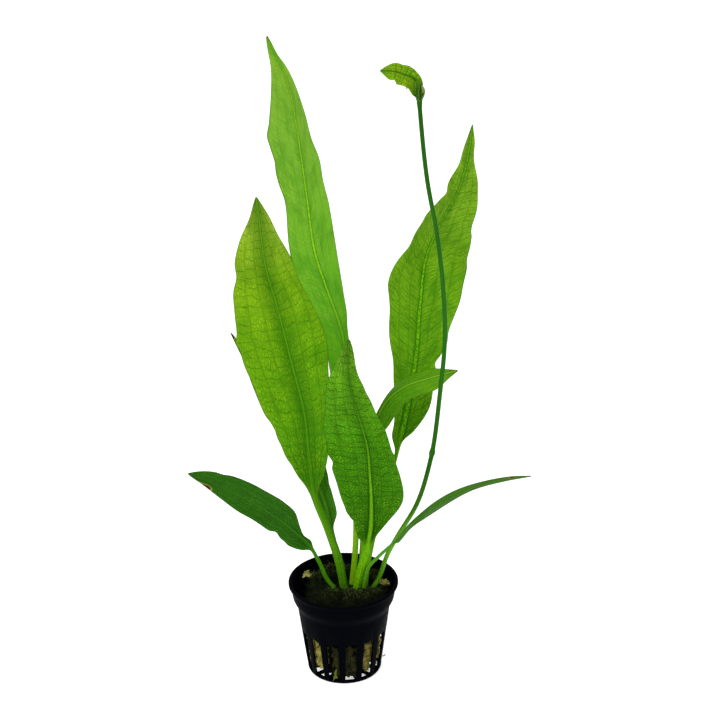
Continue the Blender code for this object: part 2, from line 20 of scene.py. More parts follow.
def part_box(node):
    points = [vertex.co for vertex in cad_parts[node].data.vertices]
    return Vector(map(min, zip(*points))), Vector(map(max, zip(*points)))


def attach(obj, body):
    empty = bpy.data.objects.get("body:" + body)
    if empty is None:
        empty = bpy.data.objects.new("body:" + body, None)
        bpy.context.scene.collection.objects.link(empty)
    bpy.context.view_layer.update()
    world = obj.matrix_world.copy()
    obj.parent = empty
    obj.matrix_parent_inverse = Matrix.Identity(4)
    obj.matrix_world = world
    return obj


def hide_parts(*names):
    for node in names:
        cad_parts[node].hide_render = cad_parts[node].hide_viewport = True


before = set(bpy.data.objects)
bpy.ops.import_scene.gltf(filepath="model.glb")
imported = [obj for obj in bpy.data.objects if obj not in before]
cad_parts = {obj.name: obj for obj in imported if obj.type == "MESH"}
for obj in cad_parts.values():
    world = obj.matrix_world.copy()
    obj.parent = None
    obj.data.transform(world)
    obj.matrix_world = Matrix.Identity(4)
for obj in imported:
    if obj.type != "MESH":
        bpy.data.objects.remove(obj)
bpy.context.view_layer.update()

MM = 0.001
ROOT = "root"
FRONT = (0.0, -1.0, 0.0)
# Each half of a blade has three lanes, parted by two long veins. From lane to lane the cross veins step
# by this share of their spacing.
LANES = 3.0
LANE_STEP = 0.23
log = logging.getLogger("amazon_sword")
Array = np.ndarray
Tree = bpy.types.NodeTree
Node = bpy.types.Node


class Slot(Enum):
    """The record's material slots."""

    POT = "pot_plastic"
    WOOL = "wool"
    DRY_WOOL = "dry_wool"
    CROWN = "crown"
    STALK = "stalk"
    YOUNG = "leaf_young"
    OLD = "leaf_old"
    DARK = "leaf_dark"
    PLANTLET = "plantlet"
    BRACT = "bract"


def linear(code: str) -> tuple[float, float, float, float]:
    """Turns an sRGB hex colour to linear light.

    Args:
        code: six hex digits, such as "7fb238".

    Returns:
        Red, green, blue and alpha, from 0 to 1.
    """
    parts = [int(code[i : i + 2], 16) / 255.0 for i in (0, 2, 4)]
    lit = [c / 12.92 if c <= 0.04045 else ((c + 0.055) / 1.055) ** 2.4 for c in parts]
    return (lit[0], lit[1], lit[2], 1.0)


def add(tree: Tree, kind: str, links: dict | None = None, **settings: Any) -> Node:
    """Adds one node with its settings and links.

    Args:
        tree: the node tree to add to.
        kind: the node's type, without its "ShaderNode".
        links: input name or number -> a node, a socket or a plain value.
        settings: properties of the node itself.

    Returns:
        The new node.
    """
    node = tree.nodes.new(f"ShaderNode{kind}")
    for name, value in settings.items():
        setattr(node, name, value)
    for key, source in (links or {}).items():
        socket = node.inputs[key]
        if isinstance(source, Node):
            source = next(o for o in source.outputs if o.enabled)
        if isinstance(source, bpy.types.NodeSocket):
            tree.links.new(source, socket)
        else:
            socket.default_value = source
    return node


def set_ramp(node: Node, stops: tuple) -> None:
    """Fills a colour ramp.

    Args:
        node: the ramp node.
        stops: (place from 0 to 1, sRGB hex), in rising order.
    """
    elements = node.color_ramp.elements
    while len(elements) < len(stops):
        elements.new(0.5)
    for element, (place, code) in zip(elements, stops):
        element.position, element.color = place, linear(code)


def coats(tree: Tree, colour: Any, *layers: tuple) -> Node:
    """Lays colours over a first one, each through its own mask.

    Args:
        tree: the node tree to add to.
        colour: what lies under them all.
        layers: (mask, sRGB hex), from the lowest up.

    Returns:
        The node that gives the finished colour.
    """
    for mask, code in layers:
        colour = add(tree, "Mix", {0: mask, 6: colour, 7: linear(code)}, data_type="RGBA")
    return colour


def apart(tree: Tree, value: Any, middle: float) -> Node:
    """Adds nodes for how far a value is from a middle one, whichever way."""
    off = add(tree, "Math", {0: value, 1: middle}, operation="SUBTRACT")
    return add(tree, "Math", {0: off}, operation="ABSOLUTE")


def patches(tree: Tree, where: Any, size: float, detail: float, levels: tuple, **more: float) -> Node:
    """Adds uneven patches, which rise from 0 to 1 as a cloudy noise goes from one level to another.

    Args:
        tree: the node tree to add to.
        where: the place to read the noise at.
        size: how far apart the clouds are, in the unit of where.
        detail: how many finer clouds lie on them.
        levels: the noise where the patches begin and where they are full.
        more: Roughness of the noise, or low and high for an end other than 0 and 1.

    Returns:
        The node that gives the patches.
    """
    ends = {"To Min": more.pop("low", 0.0), "To Max": more.pop("high", 1.0)}
    cloud = add(tree, "TexNoise", {"Vector": where, "Scale": 1.0 / size, "Detail": detail, **more})
    return add(tree, "MapRange", {"Value": cloud, "From Min": levels[0], "From Max": levels[1], **ends})


def linked(name: str, data: Any) -> bpy.types.Object:
    """Makes an object of some data and puts it in the scene.

    Args:
        name: the object's name.
        data: its mesh, light or camera.

    Returns:
        The new object.
    """
    item = bpy.data.objects.new(name, data)
    bpy.context.scene.collection.objects.link(item)
    return item


class Finish:
    """A real surface, which names its material and gives the nodes for it."""

    name: str

    def surface(self, tree: Tree) -> Node:
        """Adds the finish's nodes and returns its shader."""
        raise NotImplementedError

    def material(self) -> bpy.types.Material:
        """Makes the material and joins its shader to the output.

        Returns:
            The material.
        """
        made = bpy.data.materials.new(self.name)
        made.use_nodes = True
        tree = made.node_tree
        tree.nodes.clear()
        add(tree, "OutputMaterial", {"Surface": self.surface(tree)})
        return made


class Piece:
    """A sub-assembly, which builds its mesh, puts it on the root body and dresses it.

    nodes are the CAD nodes that it stands for.
    """

    name: str
    slot: Slot
    finish: Finish
    nodes: tuple[str, ...] = ()

    def build(self) -> bpy.types.Mesh:
        """Makes the mesh, in the frame's coordinates."""
        raise NotImplementedError

    def dress(self, piece: bpy.types.Object) -> None:
        """Gives the piece its finish and no other."""
        piece.data.materials.clear()
        piece.data.materials.append(self.finish.material())

    def make(self) -> None:
        """Builds, places and dresses the piece."""
        piece = linked(self.name, self.build())
        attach(piece, ROOT)
        if self.nodes:
            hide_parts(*self.nodes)
        self.dress(piece)
        log.info("%s: %d faces", self.name, len(piece.data.polygons))


def mesh_from(shape: bmesh.types.BMesh, name: str) -> bpy.types.Mesh:
    """Turns worked geometry into a smooth mesh and lets the geometry go.

    Args:
        shape: the worked geometry.
        name: the mesh's name.

    Returns:
        The mesh.
    """
    mesh = bpy.data.meshes.new(name)
    shape.to_mesh(mesh)
    shape.free()
    mesh.shade_smooth()
    return mesh


def mesh_of(name: str, points: Array, faces: list, fields: dict[str, Array] | None = None) -> bpy.types.Mesh:
    """Makes a smooth mesh with its own surface fields.

    Args:
        name: the mesh's name.
        points: corners, in metres.
        faces: corner numbers of each face.
        fields: name -> one number or one vector a corner, which the finish reads.

    Returns:
        The new mesh.
    """
    mesh = bpy.data.meshes.new(name)
    mesh.from_pydata(points.tolist(), [], faces)
    for key, values in (fields or {}).items():
        kind = "FLOAT_VECTOR" if values.ndim == 2 else "FLOAT"
        layer = mesh.attributes.new(key, kind, "POINT")
        layer.data.foreach_set("vector" if values.ndim == 2 else "value", values.astype(np.float32).ravel())
    mesh.shade_smooth()
    mesh.update()
    return mesh


def curve_at(knots: Array, values: Array, share: Array) -> Array:
    """Reads a smooth curve through values at knots.

    Args:
        knots: rising places of the values.
        values: one number or one point at each knot.
        share: where to read the curve.

    Returns:
        The curve's values.
    """
    knots = np.asarray(knots, float)
    values = np.asarray(values, float)
    flat = values.ndim == 1
    if flat:
        values = values[:, None]
    steps = np.diff(knots)[:, None]
    rises = np.diff(values, axis=0) / steps
    inner = (rises[:-1] * steps[1:] + rises[1:] * steps[:-1]) / (steps[1:] + steps[:-1])
    slopes = np.vstack([rises[:1], inner, rises[-1:]])
    share = np.asarray(share, float)
    cell = np.clip(np.searchsorted(knots, share, side="right") - 1, 0, len(knots) - 2)
    span = steps[cell]
    along = (share - knots[cell])[:, None] / span
    rise = along * along * (3.0 - 2.0 * along)
    found = values[cell] * (1.0 - rise) + values[cell + 1] * rise
    found += slopes[cell] * span * along * (1.0 - along) ** 2
    found += slopes[cell + 1] * span * along * along * (along - 1.0)
    return found[:, 0] if flat else found


def even_route(points: tuple, count: int) -> tuple[Array, Array, float]:
    """Spaces places evenly along a smooth curve.

    Args:
        points: the points that the curve runs through.
        count: how many places to make.

    Returns:
        The places, the directions there and the curve's length, in the points' unit.
    """
    given = np.asarray(points, float)
    knots = np.concatenate([[0.0], np.cumsum(np.linalg.norm(np.diff(given, axis=0), axis=1))])
    fine = np.linspace(0.0, knots[-1], 1200)
    dense = curve_at(knots, given, fine)
    lengths = np.concatenate([[0.0], np.cumsum(np.linalg.norm(np.diff(dense, axis=0), axis=1))])
    where = np.interp(np.linspace(0.0, lengths[-1], count), lengths, fine)
    places = curve_at(knots, given, where)
    ahead = curve_at(knots, given, np.minimum(where + 0.05, knots[-1]))
    behind = curve_at(knots, given, np.maximum(where - 0.05, 0.0))
    return places, unit(ahead - behind), float(lengths[-1])


def unit(ways: Array) -> Array:
    """The same directions, each with a length of 1."""
    return ways / np.linalg.norm(ways, axis=1)[:, None]


def ring_quads(rings: int, count: int) -> list[list[int]]:
    """The four-cornered faces between rings of points, where each ring closes on itself.

    Args:
        rings: how many rings there are.
        count: how many points each has.

    Returns:
        The corner numbers of each face.
    """
    first = np.arange((rings - 1) * count).reshape(rings - 1, count)
    beside = np.roll(first, -1, axis=1)
    return np.stack([first, beside, beside + count, first + count], -1).reshape(-1, 4).tolist()


def around(places: Array, *offsets: tuple[Array, Array]) -> Array:
    """Sets rows of points beside places along a route.

    Args:
        places: one place for each row.
        offsets: (direction at each place, distance of each point of each row along it).

    Returns:
        The points, row by row.
    """
    return places[:, None, :] + sum(way[:, None, :] * far[..., None] for way, far in offsets)


def ripple(x: Array, y: Array, seed: float) -> Array:
    """Smooth waves that look irregular, about -1 to 1, one wave to each unit or two of x and y.

    Args:
        x: places one way.
        y: places the other way.
        seed: which waves they are.

    Returns:
        The waves' height at each place.
    """
    total = np.zeros(np.broadcast(x, y).shape)
    for k in range(5):
        angle = seed * 1.7 + k * 2.399
        pace = 3.1 * (1.0 + 0.37 * k) ** 0.8
        along = x * math.cos(angle) + y * math.sin(angle)
        total = total + np.sin(pace * along + seed * 5.1 + k * k) / (1.0 + 0.4 * k)
    return total / 2.4


def hump(value: Array, middle: float | Array, spread: float | Array) -> Array:
    """A rounded hump, 1 in its middle and falling away over the spread on both sides."""
    return np.exp(-(((value - middle) / spread) ** 2))


def smooth(value: Array, low: float, high: float) -> Array:
    """Rises from 0 at low to 1 at high with no corner."""
    share = np.clip((value - low) / (high - low), 0.0, 1.0)
    return share * share * (3.0 - 2.0 * share)


# Where the middle of the stalk runs, from the crown to the plantlet.
STALK_ROUTE = (
    (13.8, 1.8, 41.9), (16.4, 1.8, 46.2), (22.6, 0.2, 64.5), (27.2, -1.6, 74.8),
    (36.3, -4.5, 93.5), (43.0, -7.0, 119.3), (47.1, -9.0, 154.1), (49.3, -10.0, 185.9),
    (48.3, -10.0, 208.9), (45.5, -10.0, 234.0), (40.8, -9.0, 261.0), (38.0, -7.0, 288.0),
    (37.4, -6.0, 296.0),
)


@dataclass(frozen=True)
class LeafSkin(Finish):
    """Living leaf: green tissue under a waxy skin, cell by cell between its veins.

    Colours are sRGB hex. tones holds (share of the length, tissue there), cell is the paler tissue
    in the middle of each cell, vein the sunken veins and also the painted shade and painted shadow beside
    the midrib, rib the midrib, whose colour also carries a painted highlight that is brightest at one
    place along the leaf, edge the margin, foot and neck the stalk at the bottom and under the blade, and
    yellowed and dead what dying tissue turns to. Each _show is how strongly that pattern is seen, and each
    _mm is its spacing or size.
    """

    name: str
    tones: tuple
    cell: str
    vein: str
    rib: str
    edge: str
    foot: str
    neck: str
    yellowed: str = "a8a03c"
    dead: str = "4a3020"
    rung_mm: float = 4.2
    rung_show: float = 0.5
    net_mm: float = 1.3
    net_show: float = 0.3
    cell_show: float = 0.5
    lane_show: float = 0.5
    rib_mm: float = 0.75
    rib_show: float = 0.8
    bead: float = 0.0
    rough: float = 0.42
    relief_mm: float = 0.10
    glow: float = 0.2
    hatch_mm: float = 1.5
    hatch_show: float = 0.0
    rib_shade_show: float = 0.2
    rib_shade_mm: float = 3.0
    grain: tuple = (0.62, 1.0)
    gloss: float = 0.05
    mottle_show: float = 0.3
    rib_highlight_peak: float = 0.5
    rib_highlight_spread: float = 2.0

    def surface(self, tree: Tree) -> Node:
        """Adds a satin skin, paler cells in a darker net, and light that comes through.

        Args:
            tree: the material's node tree.

        Returns:
            The shader node.
        """
        place = add(tree, "Attribute", attribute_name="place").outputs["Vector"]
        blade = add(tree, "Attribute", attribute_name="blade").outputs["Vector"]
        stain = add(tree, "Attribute", attribute_name="stain").outputs["Fac"]
        sides = add(tree, "SeparateXYZ", {0: place})
        parts = add(tree, "SeparateXYZ", {0: blade})
        across = add(tree, "Math", {0: parts.outputs[0]}, operation="ABSOLUTE")
        lanes = add(tree, "Math", {0: across, 1: LANES}, operation="MULTIPLY")
        lane = add(tree, "Math", {0: lanes}, operation="FLOOR")
        # Cross veins are rungs a few millimetres apart, and they miss each other from lane to lane.
        waver = add(tree, "TexNoise", {"Vector": place, "Scale": 0.5, "Detail": 2.0})
        bent = add(tree, "Math", {0: waver, 1: 1.6, 2: sides.outputs[1]}, operation="MULTIPLY_ADD")
        rungs = add(tree, "Math", {0: bent, 1: 1.0 / self.rung_mm}, operation="MULTIPLY")
        shifted = add(tree, "Math", {0: lane, 1: LANE_STEP, 2: rungs}, operation="MULTIPLY_ADD")
        turn = add(tree, "Math", {0: shifted}, operation="FRACT")
        far = apart(tree, turn, 0.5)
        rung = add(
            tree, "MapRange",
            {"Value": far, "From Min": 0.5 - 0.42 / self.rung_mm, "From Max": 0.5, "To Max": self.rung_show},
            interpolation_type="SMOOTHSTEP",
        )
        shown = patches(tree, place, 4.55, 2.0, (0.28, 0.46))
        rung = add(tree, "Math", {0: rung, 1: shown}, operation="MULTIPLY")
        # Long veins follow the margin at a third and two thirds of each half.
        strip = add(tree, "Math", {0: lanes}, operation="FRACT")
        near = apart(tree, strip, 0.5)
        long_vein = add(
            tree, "MapRange",
            {"Value": near, "From Min": 0.33, "From Max": 0.5, "To Max": self.lane_show},
            interpolation_type="SMOOTHSTEP",
        )
        # The fine net's cells are about a millimetre, drawn out along the leaf or across it.
        stretched = add(
            tree, "VectorMath",
            {0: place, 1: (self.grain[0] / self.net_mm, self.grain[1] / self.net_mm, 0.0)},
            operation="MULTIPLY",
        )
        net = add(
            tree, "TexVoronoi",
            {"Vector": stretched, "Scale": 1.0, "Randomness": 0.85},
            feature="DISTANCE_TO_EDGE", voronoi_dimensions="2D",
        )
        cell = add(
            tree, "MapRange",
            {"Value": net, "From Min": 0.0, "From Max": 0.34},
            interpolation_type="SMOOTHSTEP",
        )
        gap = add(tree, "Math", {0: 1.0, 1: cell}, operation="SUBTRACT")
        mesh_vein = add(tree, "Math", {0: gap, 1: self.net_show}, operation="MULTIPLY")
        veins = add(tree, "Math", {0: rung, 1: long_vein}, operation="MAXIMUM")
        veins = add(tree, "Math", {0: veins, 1: mesh_vein}, operation="MAXIMUM")
        # Finer veins lie between the rungs and run the same way.
        fine = add(tree, "Math", {0: waver, 1: 2.2, 2: sides.outputs[1]}, operation="MULTIPLY_ADD")
        fine = add(tree, "Math", {0: fine, 1: math.tau / self.hatch_mm}, operation="MULTIPLY")
        fine = add(tree, "Math", {0: fine}, operation="SINE")
        hatch = add(
            tree, "MapRange",
            {"Value": fine, "From Min": 0.35, "From Max": 1.0, "To Max": self.hatch_show},
        )
        veins = add(tree, "Math", {0: veins, 1: hatch}, operation="MAXIMUM")
        tissue = add(tree, "ValToRGB", {0: parts.outputs[1]})
        set_ramp(tissue, self.tones)
        pale = patches(tree, place, 11.1, 3.0, (0.35, 0.68), high=self.cell_show, Roughness=0.6)
        pale = add(tree, "Math", {0: pale, 1: cell}, operation="MULTIPLY")
        # Clouds of deeper green, 6 mm across the leaf and 11 mm along it.
        drift = add(tree, "VectorMath", {0: place, 1: (1.0, 0.55, 1.0)}, operation="MULTIPLY")
        deep = patches(tree, drift, 6.25, 4.0, (0.42, 0.68), high=self.mottle_show, Roughness=0.65)
        rim = add(tree, "MapRange", {"Value": across, "From Min": 0.93, "From Max": 1.0, "To Max": 0.7})
        off = add(tree, "Math", {0: sides.outputs[0]}, operation="ABSOLUTE")
        # A band of the vein colour along the midrib is painted shade beside the raised rib.
        rib_shade = add(
            tree, "MapRange",
            {"Value": off, "From Min": self.rib_shade_mm, "From Max": 0.0, "To Max": self.rib_shade_show},
        )
        taper = add(
            tree, "MapRange",
            {
                "Value": parts.outputs[1], "From Min": 0.3, "From Max": 1.0,
                "To Min": 1.0 / self.rib_mm, "To Max": 3.6 / self.rib_mm,
            },
        )
        offset = add(tree, "Math", {0: off, 1: taper}, operation="MULTIPLY")
        knobs = patches(tree, place, 1.18, 1.0, (0.44, 0.56), low=1.0 - self.bead)
        ridge = add(
            tree, "MapRange",
            {"Value": offset, "From Min": 1.25, "From Max": 0.55, "To Max": self.rib_show},
            interpolation_type="SMOOTHSTEP",
        )
        ridge = add(tree, "Math", {0: ridge, 1: knobs}, operation="MULTIPLY")
        # The midrib's paler colour carries a painted highlight, brightest at one place along the leaf and
        # fading both ways from it.
        from_peak = apart(tree, parts.outputs[1], self.rib_highlight_peak)
        rib_highlight = add(
            tree, "MapRange",
            {"Value": from_peak, "From Min": self.rib_highlight_spread, "From Max": 0.3 * self.rib_highlight_spread},
        )
        ridge = add(tree, "Math", {0: ridge, 1: rib_highlight}, operation="MULTIPLY")
        # Dark lines of the vein colour just beside the raised midrib are painted shadow.
        rib_shadow_line = apart(tree, offset, 1.7)
        rib_shadow_line = add(
            tree, "MapRange",
            {"Value": rib_shadow_line, "From Min": 0.7, "From Max": 0.1, "To Max": 0.8 * self.rib_show},
        )
        # The vein colour is laid again here as painted shade along the midrib and as painted shadow lines
        # beside it, and the rib colour carries its painted highlight.
        colour = coats(
            tree, tissue, (pale, self.cell), (deep, self.vein), (veins, self.vein), (rim, self.edge),
            (rib_shade, self.vein), (rib_shadow_line, self.vein), (ridge, self.rib),
        )
        # The stalk is paler at its foot and has faint lengthwise strands 0.6 mm apart.
        height = add(tree, "MapRange", {"Value": parts.outputs[1], "From Min": 0.0, "From Max": 0.25})
        drawn = add(tree, "VectorMath", {0: place, 1: (1.0, 0.04, 1.0)}, operation="MULTIPLY")
        streak = patches(tree, drawn, 0.625, 2.0, (0.4, 0.66), high=0.45)
        stalk = coats(tree, linear(self.foot), (height, self.neck), (streak, self.rib))
        colour = add(tree, "Mix", {0: parts.outputs[2], 6: stalk, 7: colour}, data_type="RGBA")
        # Dying tissue goes yellow, then brown, with a ragged border.
        ragged = add(tree, "TexNoise", {"Vector": place, "Scale": 0.9, "Detail": 3.0})
        worn = add(tree, "Math", {0: ragged, 1: 0.5, 2: stain}, operation="MULTIPLY_ADD")
        yellow = add(tree, "MapRange", {"Value": worn, "From Min": 0.55, "From Max": 0.70})
        brown = add(tree, "MapRange", {"Value": worn, "From Min": 0.78, "From Max": 0.95})
        colour = coats(tree, colour, (yellow, self.yellowed), (brown, self.dead))
        hill = add(tree, "Math", {0: cell, 1: veins}, operation="SUBTRACT")
        bump = add(tree, "Bump", {"Height": hill, "Strength": 0.8, "Distance": self.relief_mm * MM})
        skin = add(
            tree, "BsdfPrincipled",
            {
                "Base Color": colour, "Roughness": self.rough, "IOR": 1.42,
                "Specular IOR Level": self.gloss, "Normal": bump,
            },
        )
        through = add(tree, "BsdfTranslucent", {"Color": colour, "Normal": bump})
        return add(tree, "MixShader", {0: self.glow, 1: skin, 2: through})


@dataclass(frozen=True)
class Spot:
    """A mark on a leaf: a brown patch, or a raised blister where height_mm isn't 0.

    share is along the leaf, span across it from -1 at the left margin to 1 at the right.
    """

    share: float
    span: float
    long_mm: float
    wide_mm: float
    brown: float = 1.0
    height_mm: float = 0.0


@dataclass(frozen=True)
class LeafForm:
    """The shape of one leaf, blade and stalk grown together, in mm and degrees.

    rib runs along the middle from the crown to the tip. widths holds (share of the length, left half
    width, right half width). turn and fold hold (share, degrees) about the rib and up from flat.
    wave is the height of the margin's waves and how many there are. slope is how steeply the cross
    veins rise outwards, and rib_lift how far the midrib stands out of this face. tip_brown is the
    length of the browned tip. left_bays and right_bays hold (share, depth, spread) for each small bay
    in a margin, or bulge where the depth is above 0.
    """

    node: str
    rib: tuple
    widths: tuple
    turn: tuple
    fold: tuple
    stalk: float
    blade: float
    wave: tuple
    slope: float = 0.35
    rib_lift: float = 0.15
    beads: float = 0.0
    quilt: float = 0.22
    sway: float = 0.7
    tip_brown: float = 0.0
    step: float = 0.85
    spots: tuple = ()
    left_bays: tuple = ()
    right_bays: tuple = ()
    in_cad: bool = True


@dataclass
class SwordLeaf(Piece):
    """Builds one leaf as a closed shell with its veins in relief, and dresses it."""

    form: LeafForm
    finish: LeafSkin
    slot: Slot
    ramp: float = 0.07
    shell_mm: float = 0.34
    crease_mm: float = 0.5
    groove_mm: float = 0.16

    @property
    def name(self) -> str:
        """The piece's name."""
        return f"{self.form.node}_living"

    @property
    def nodes(self) -> tuple[str, ...]:
        """The CAD node that it stands for, if it has one."""
        return (self.form.node,) if self.form.in_cad else ()

    def column(self, table: tuple, index: int, share: Array) -> Array:
        """One column of a table of the form, read at each share of the length."""
        return curve_at([row[0] for row in table], [row[index] for row in table], share)

    def bayed(self, bays: tuple, share: Array) -> Array:
        """What the bays and bulges of one margin add to its half width."""
        return sum((deep * hump(share, at, spread) for at, deep, spread in bays), np.zeros_like(share))

    def across_and_face(self, directions: Array, turn: Array) -> tuple[Array, Array]:
        """Gives the blade's own directions.

        Args:
            directions: unit directions along the rib.
            turn: the blade's turn about the rib, in radians.

        Returns:
            Its rightward and its facing direction at each place.
        """
        across = unit(np.cross(directions, FRONT))
        face = np.cross(across, directions)
        face *= np.where(face[:, 1] > 0.0, -1.0, 1.0)[:, None]
        cosine, sine = np.cos(turn)[:, None], np.sin(turn)[:, None]
        return across * cosine + face * sine, face * cosine - across * sine

    def relief(self, span: Array, x: Array, rung: Array, y: Array, share: Array) -> Array:
        """Height of the blade's middle surface over its plain fold.

        Args:
            span: -1 to 1 across the blade.
            x: mm from the rib.
            rung: mm along the cross veins' own direction.
            y: mm along the leaf.
            share: share of the leaf's length.

        Returns:
            Heights, in mm.
        """
        form, pitch = self.form, self.finish.rung_mm
        lanes = np.abs(span) * LANES
        turn = rung / pitch + np.floor(lanes) * LANE_STEP
        near = np.abs(turn - np.floor(turn) - 0.5) * 2.0
        strip = lanes - np.floor(lanes)
        room = np.clip((1.0 - np.abs(span)) * 6.0, 0.0, 1.0)
        pillow = (1.0 - near**2) * np.sin(np.pi * strip) ** 0.7
        height = form.quilt * pillow * (0.75 + 0.25 * ripple(x / 9.0, y / 11.0, 4.0))
        height -= 0.5 * form.quilt * smooth(near, 0.72, 1.0)
        height -= 0.8 * form.quilt * smooth(np.abs(strip - 0.5), 0.40, 0.5) * (lanes > 0.5)
        height += 0.4 * form.quilt * ripple(x / 1.5, rung / 1.1, 2.0)
        height *= room
        height += form.sway * ripple(x / 16.0, y / 24.0, 1.0) * np.clip(np.abs(span) * 2.0, 0.0, 1.0)
        broad = 0.95 * (1.0 - 0.6 * share)
        beads = 1.0 + form.beads * ripple(x * 0.1, y / 1.05, 7.0)
        height += form.rib_lift * beads * (1.0 - 0.7 * share) * hump(x, 0.0, broad)
        height -= self.groove_mm * hump(np.abs(x), 1.9 * broad, 0.6 * broad)
        for spot in form.spots:
            if spot.height_mm:
                height += spot.height_mm * self.near_spot(spot, span, x, y)
        return height

    def near_spot(self, spot: Spot, span: Array, x: Array, y: Array) -> Array:
        """How near each place is to a spot, 1 in its middle and 0 well outside it.

        Args:
            spot: the spot.
            span: -1 to 1 across the blade.
            x: mm from the rib.
            y: mm along the leaf.

        Returns:
            The nearness, row by row.
        """
        length = y.max()
        row = int(round(spot.share * (y.shape[0] - 1)))
        line = np.argmin(np.abs(span[row] - spot.span))
        reach = ((y - spot.share * length) / spot.long_mm) ** 2 + ((x - x[row, line]) / spot.wide_mm) ** 2
        return np.exp(-(reach**1.5))

    def build(self) -> bpy.types.Mesh:
        """Lofts the leaf and sets its plain form, without bays, in the CAD node's box.

        Returns:
            The mesh, in metres.
        """
        mesh = self.loft()
        if self.nodes:
            plain = replace(self, form=replace(self.form, left_bays=(), right_bays=()))
            settle(mesh, self.form.node, plain.loft())
        return mesh

    def loft(self) -> bpy.types.Mesh:
        """Makes the closed shell.

        Returns:
            The mesh, with the fields that its finish reads.
        """
        form = self.form
        length = even_route(form.rib, 3)[2]
        rows = int(length / form.step) + 2
        widest = max(max(row[1], row[2]) for row in form.widths)
        half = int(np.clip(widest / form.step * 1.15, 7, 30))
        places, directions, _ = even_route(form.rib, rows)
        share = np.linspace(0.0, 1.0, rows)[:, None]
        flat = share[:, 0]
        turn = np.radians(self.column(form.turn, 1, flat))
        across, face = self.across_and_face(directions, turn)
        fold = np.radians(self.column(form.fold, 1, flat))[:, None]
        left, right = self.column(form.widths, 1, flat), self.column(form.widths, 2, flat)
        left, right = left + self.bayed(form.left_bays, flat), right + self.bayed(form.right_bays, flat)
        left, right = np.maximum(left, 0.2)[:, None], np.maximum(right, 0.2)[:, None]
        bladed = smooth(share, form.blade, form.blade + self.ramp)
        shrink = np.clip((1.0 - share) / 0.9, 0.12, 1.0)
        span = np.linspace(-1.0, 1.0, 2 * half + 1)[None, :] * np.ones_like(share)
        x = span * np.where(span < 0.0, left, right)
        y = share * length * np.ones_like(span)
        wobble = 0.6 * ripple(x / 4.0, y / 4.0, 3.0) + 1.5 * ripple(x / 12.0, y / 12.0, 5.0)
        rung = y - form.slope * np.abs(x) + wobble
        height, count = form.wave
        beat = 2.0 * math.pi * count * share
        wave = np.where(span > 0.0, np.sin(beat), np.sin(beat + 2.0)) * height * span**2
        lifted = np.sqrt(x**2 + 1.4) - math.sqrt(1.4)
        middle = lifted * np.sin(fold) + wave + self.relief(span, x, rung, y, share) * bladed * shrink**0.5
        angle = math.pi * (1.0 - (span + 1.0) / 2.0)
        thin = self.shell_mm * shrink * (1.0 - 0.75 * span**6) / 2.0
        girth = form.stalk * (1.0 - flat[:, None]) ** 0.7 * 0.9 + self.crease_mm * 0.3
        under = girth * hump(x, 0.0, girth * 1.1) * shrink
        grain = 0.05 * form.stalk * np.sin(angle * 9.0)
        round_x = (form.stalk + grain) * shrink * np.cos(angle)
        round_y = (form.stalk + grain) * shrink * np.sin(angle)
        sheets = []
        for side, blade_up in ((1.0, middle + thin), (-1.0, middle - thin - under)):
            sideways = round_x * (1.0 - bladed) + x * np.cos(fold) * bladed
            upward = side * round_y * (1.0 - bladed) + blade_up * bladed
            sheets.append(around(places, (across, sideways), (face, upward)))
        stain = self.stains(span, x, y)
        place = [np.stack([x, rung, np.full_like(x, side)], -1) for side in (40.0, -40.0)]
        blade = np.stack([span, share * np.ones_like(span), bladed * np.ones_like(span)], -1)
        # Each ring runs over the face and back under it, and shares the two margins.
        points, place, blade, stain = (
            np.concatenate([over, under[:, -2:0:-1]], 1)[:-1]
            for over, under in (sheets, place, (blade, blade), (stain, stain))
        )
        return self.close(points, {"place": place, "blade": blade, "stain": stain}, places[-1])

    def stains(self, span: Array, x: Array, y: Array) -> Array:
        """How brown each place is, 0 to 1.

        Args:
            span: -1 to 1 across the blade.
            x: mm from the rib.
            y: mm along the leaf.

        Returns:
            The brownness, row by row.
        """
        from_tip = y.max() - y + 0.15 * ripple(x, y, 6.0)
        reach = self.form.tip_brown
        found = (1.0 - smooth(from_tip, 0.4 * reach, reach + 0.1)) * (reach > 0.0)
        for spot in self.form.spots:
            if spot.brown:
                found = np.maximum(found, spot.brown * self.near_spot(spot, span, x, y))
        return found

    def close(self, points: Array, fields: dict[str, Array], tip: Array) -> bpy.types.Mesh:
        """Joins rings into a closed mesh that ends in a point.

        Args:
            points: ring after ring of points, in mm.
            fields: values at those points.
            tip: the last point.

        Returns:
            The mesh, facing out.
        """
        rings, count = points.shape[:2]
        quads = ring_quads(rings, count)
        last = (rings - 1) * count
        quads += [[last + k, last + (k + 1) % count, rings * count] for k in range(count)]
        quads.append(list(range(count))[::-1])
        corners = np.concatenate([points.reshape(-1, 3), tip[None, :]]) * MM
        sets = {}
        for key, values in fields.items():
            flat = values.reshape(rings * count, *values.shape[2:])
            sets[key] = np.concatenate([flat, flat[-1:]])
        mesh = mesh_of(self.form.node, corners, quads, sets)
        sides = points[0] - points[0].mean(0)
        ahead = points[1].mean(0) - points[0].mean(0)
        if np.dot(np.cross(sides[0], sides[1]), ahead) < 0.0:
            mesh.flip_normals()
        return mesh


def settle(mesh: bpy.types.Mesh, node: str, like: bpy.types.Mesh) -> None:
    """Moves a mesh by what brings its plain form onto the CAD node's middle.

    Args:
        mesh: the mesh to move.
        node: the node that it stands for.
        like: the same form without its bays and bulges.
    """
    low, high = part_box(node)
    found = np.empty(len(like.vertices) * 3)
    like.vertices.foreach_get("co", found)
    found = found.reshape(-1, 3)
    mesh.transform(Matrix.Translation((low + high) / 2.0 - Vector((found.min(0) + found.max(0)) / 2.0)))


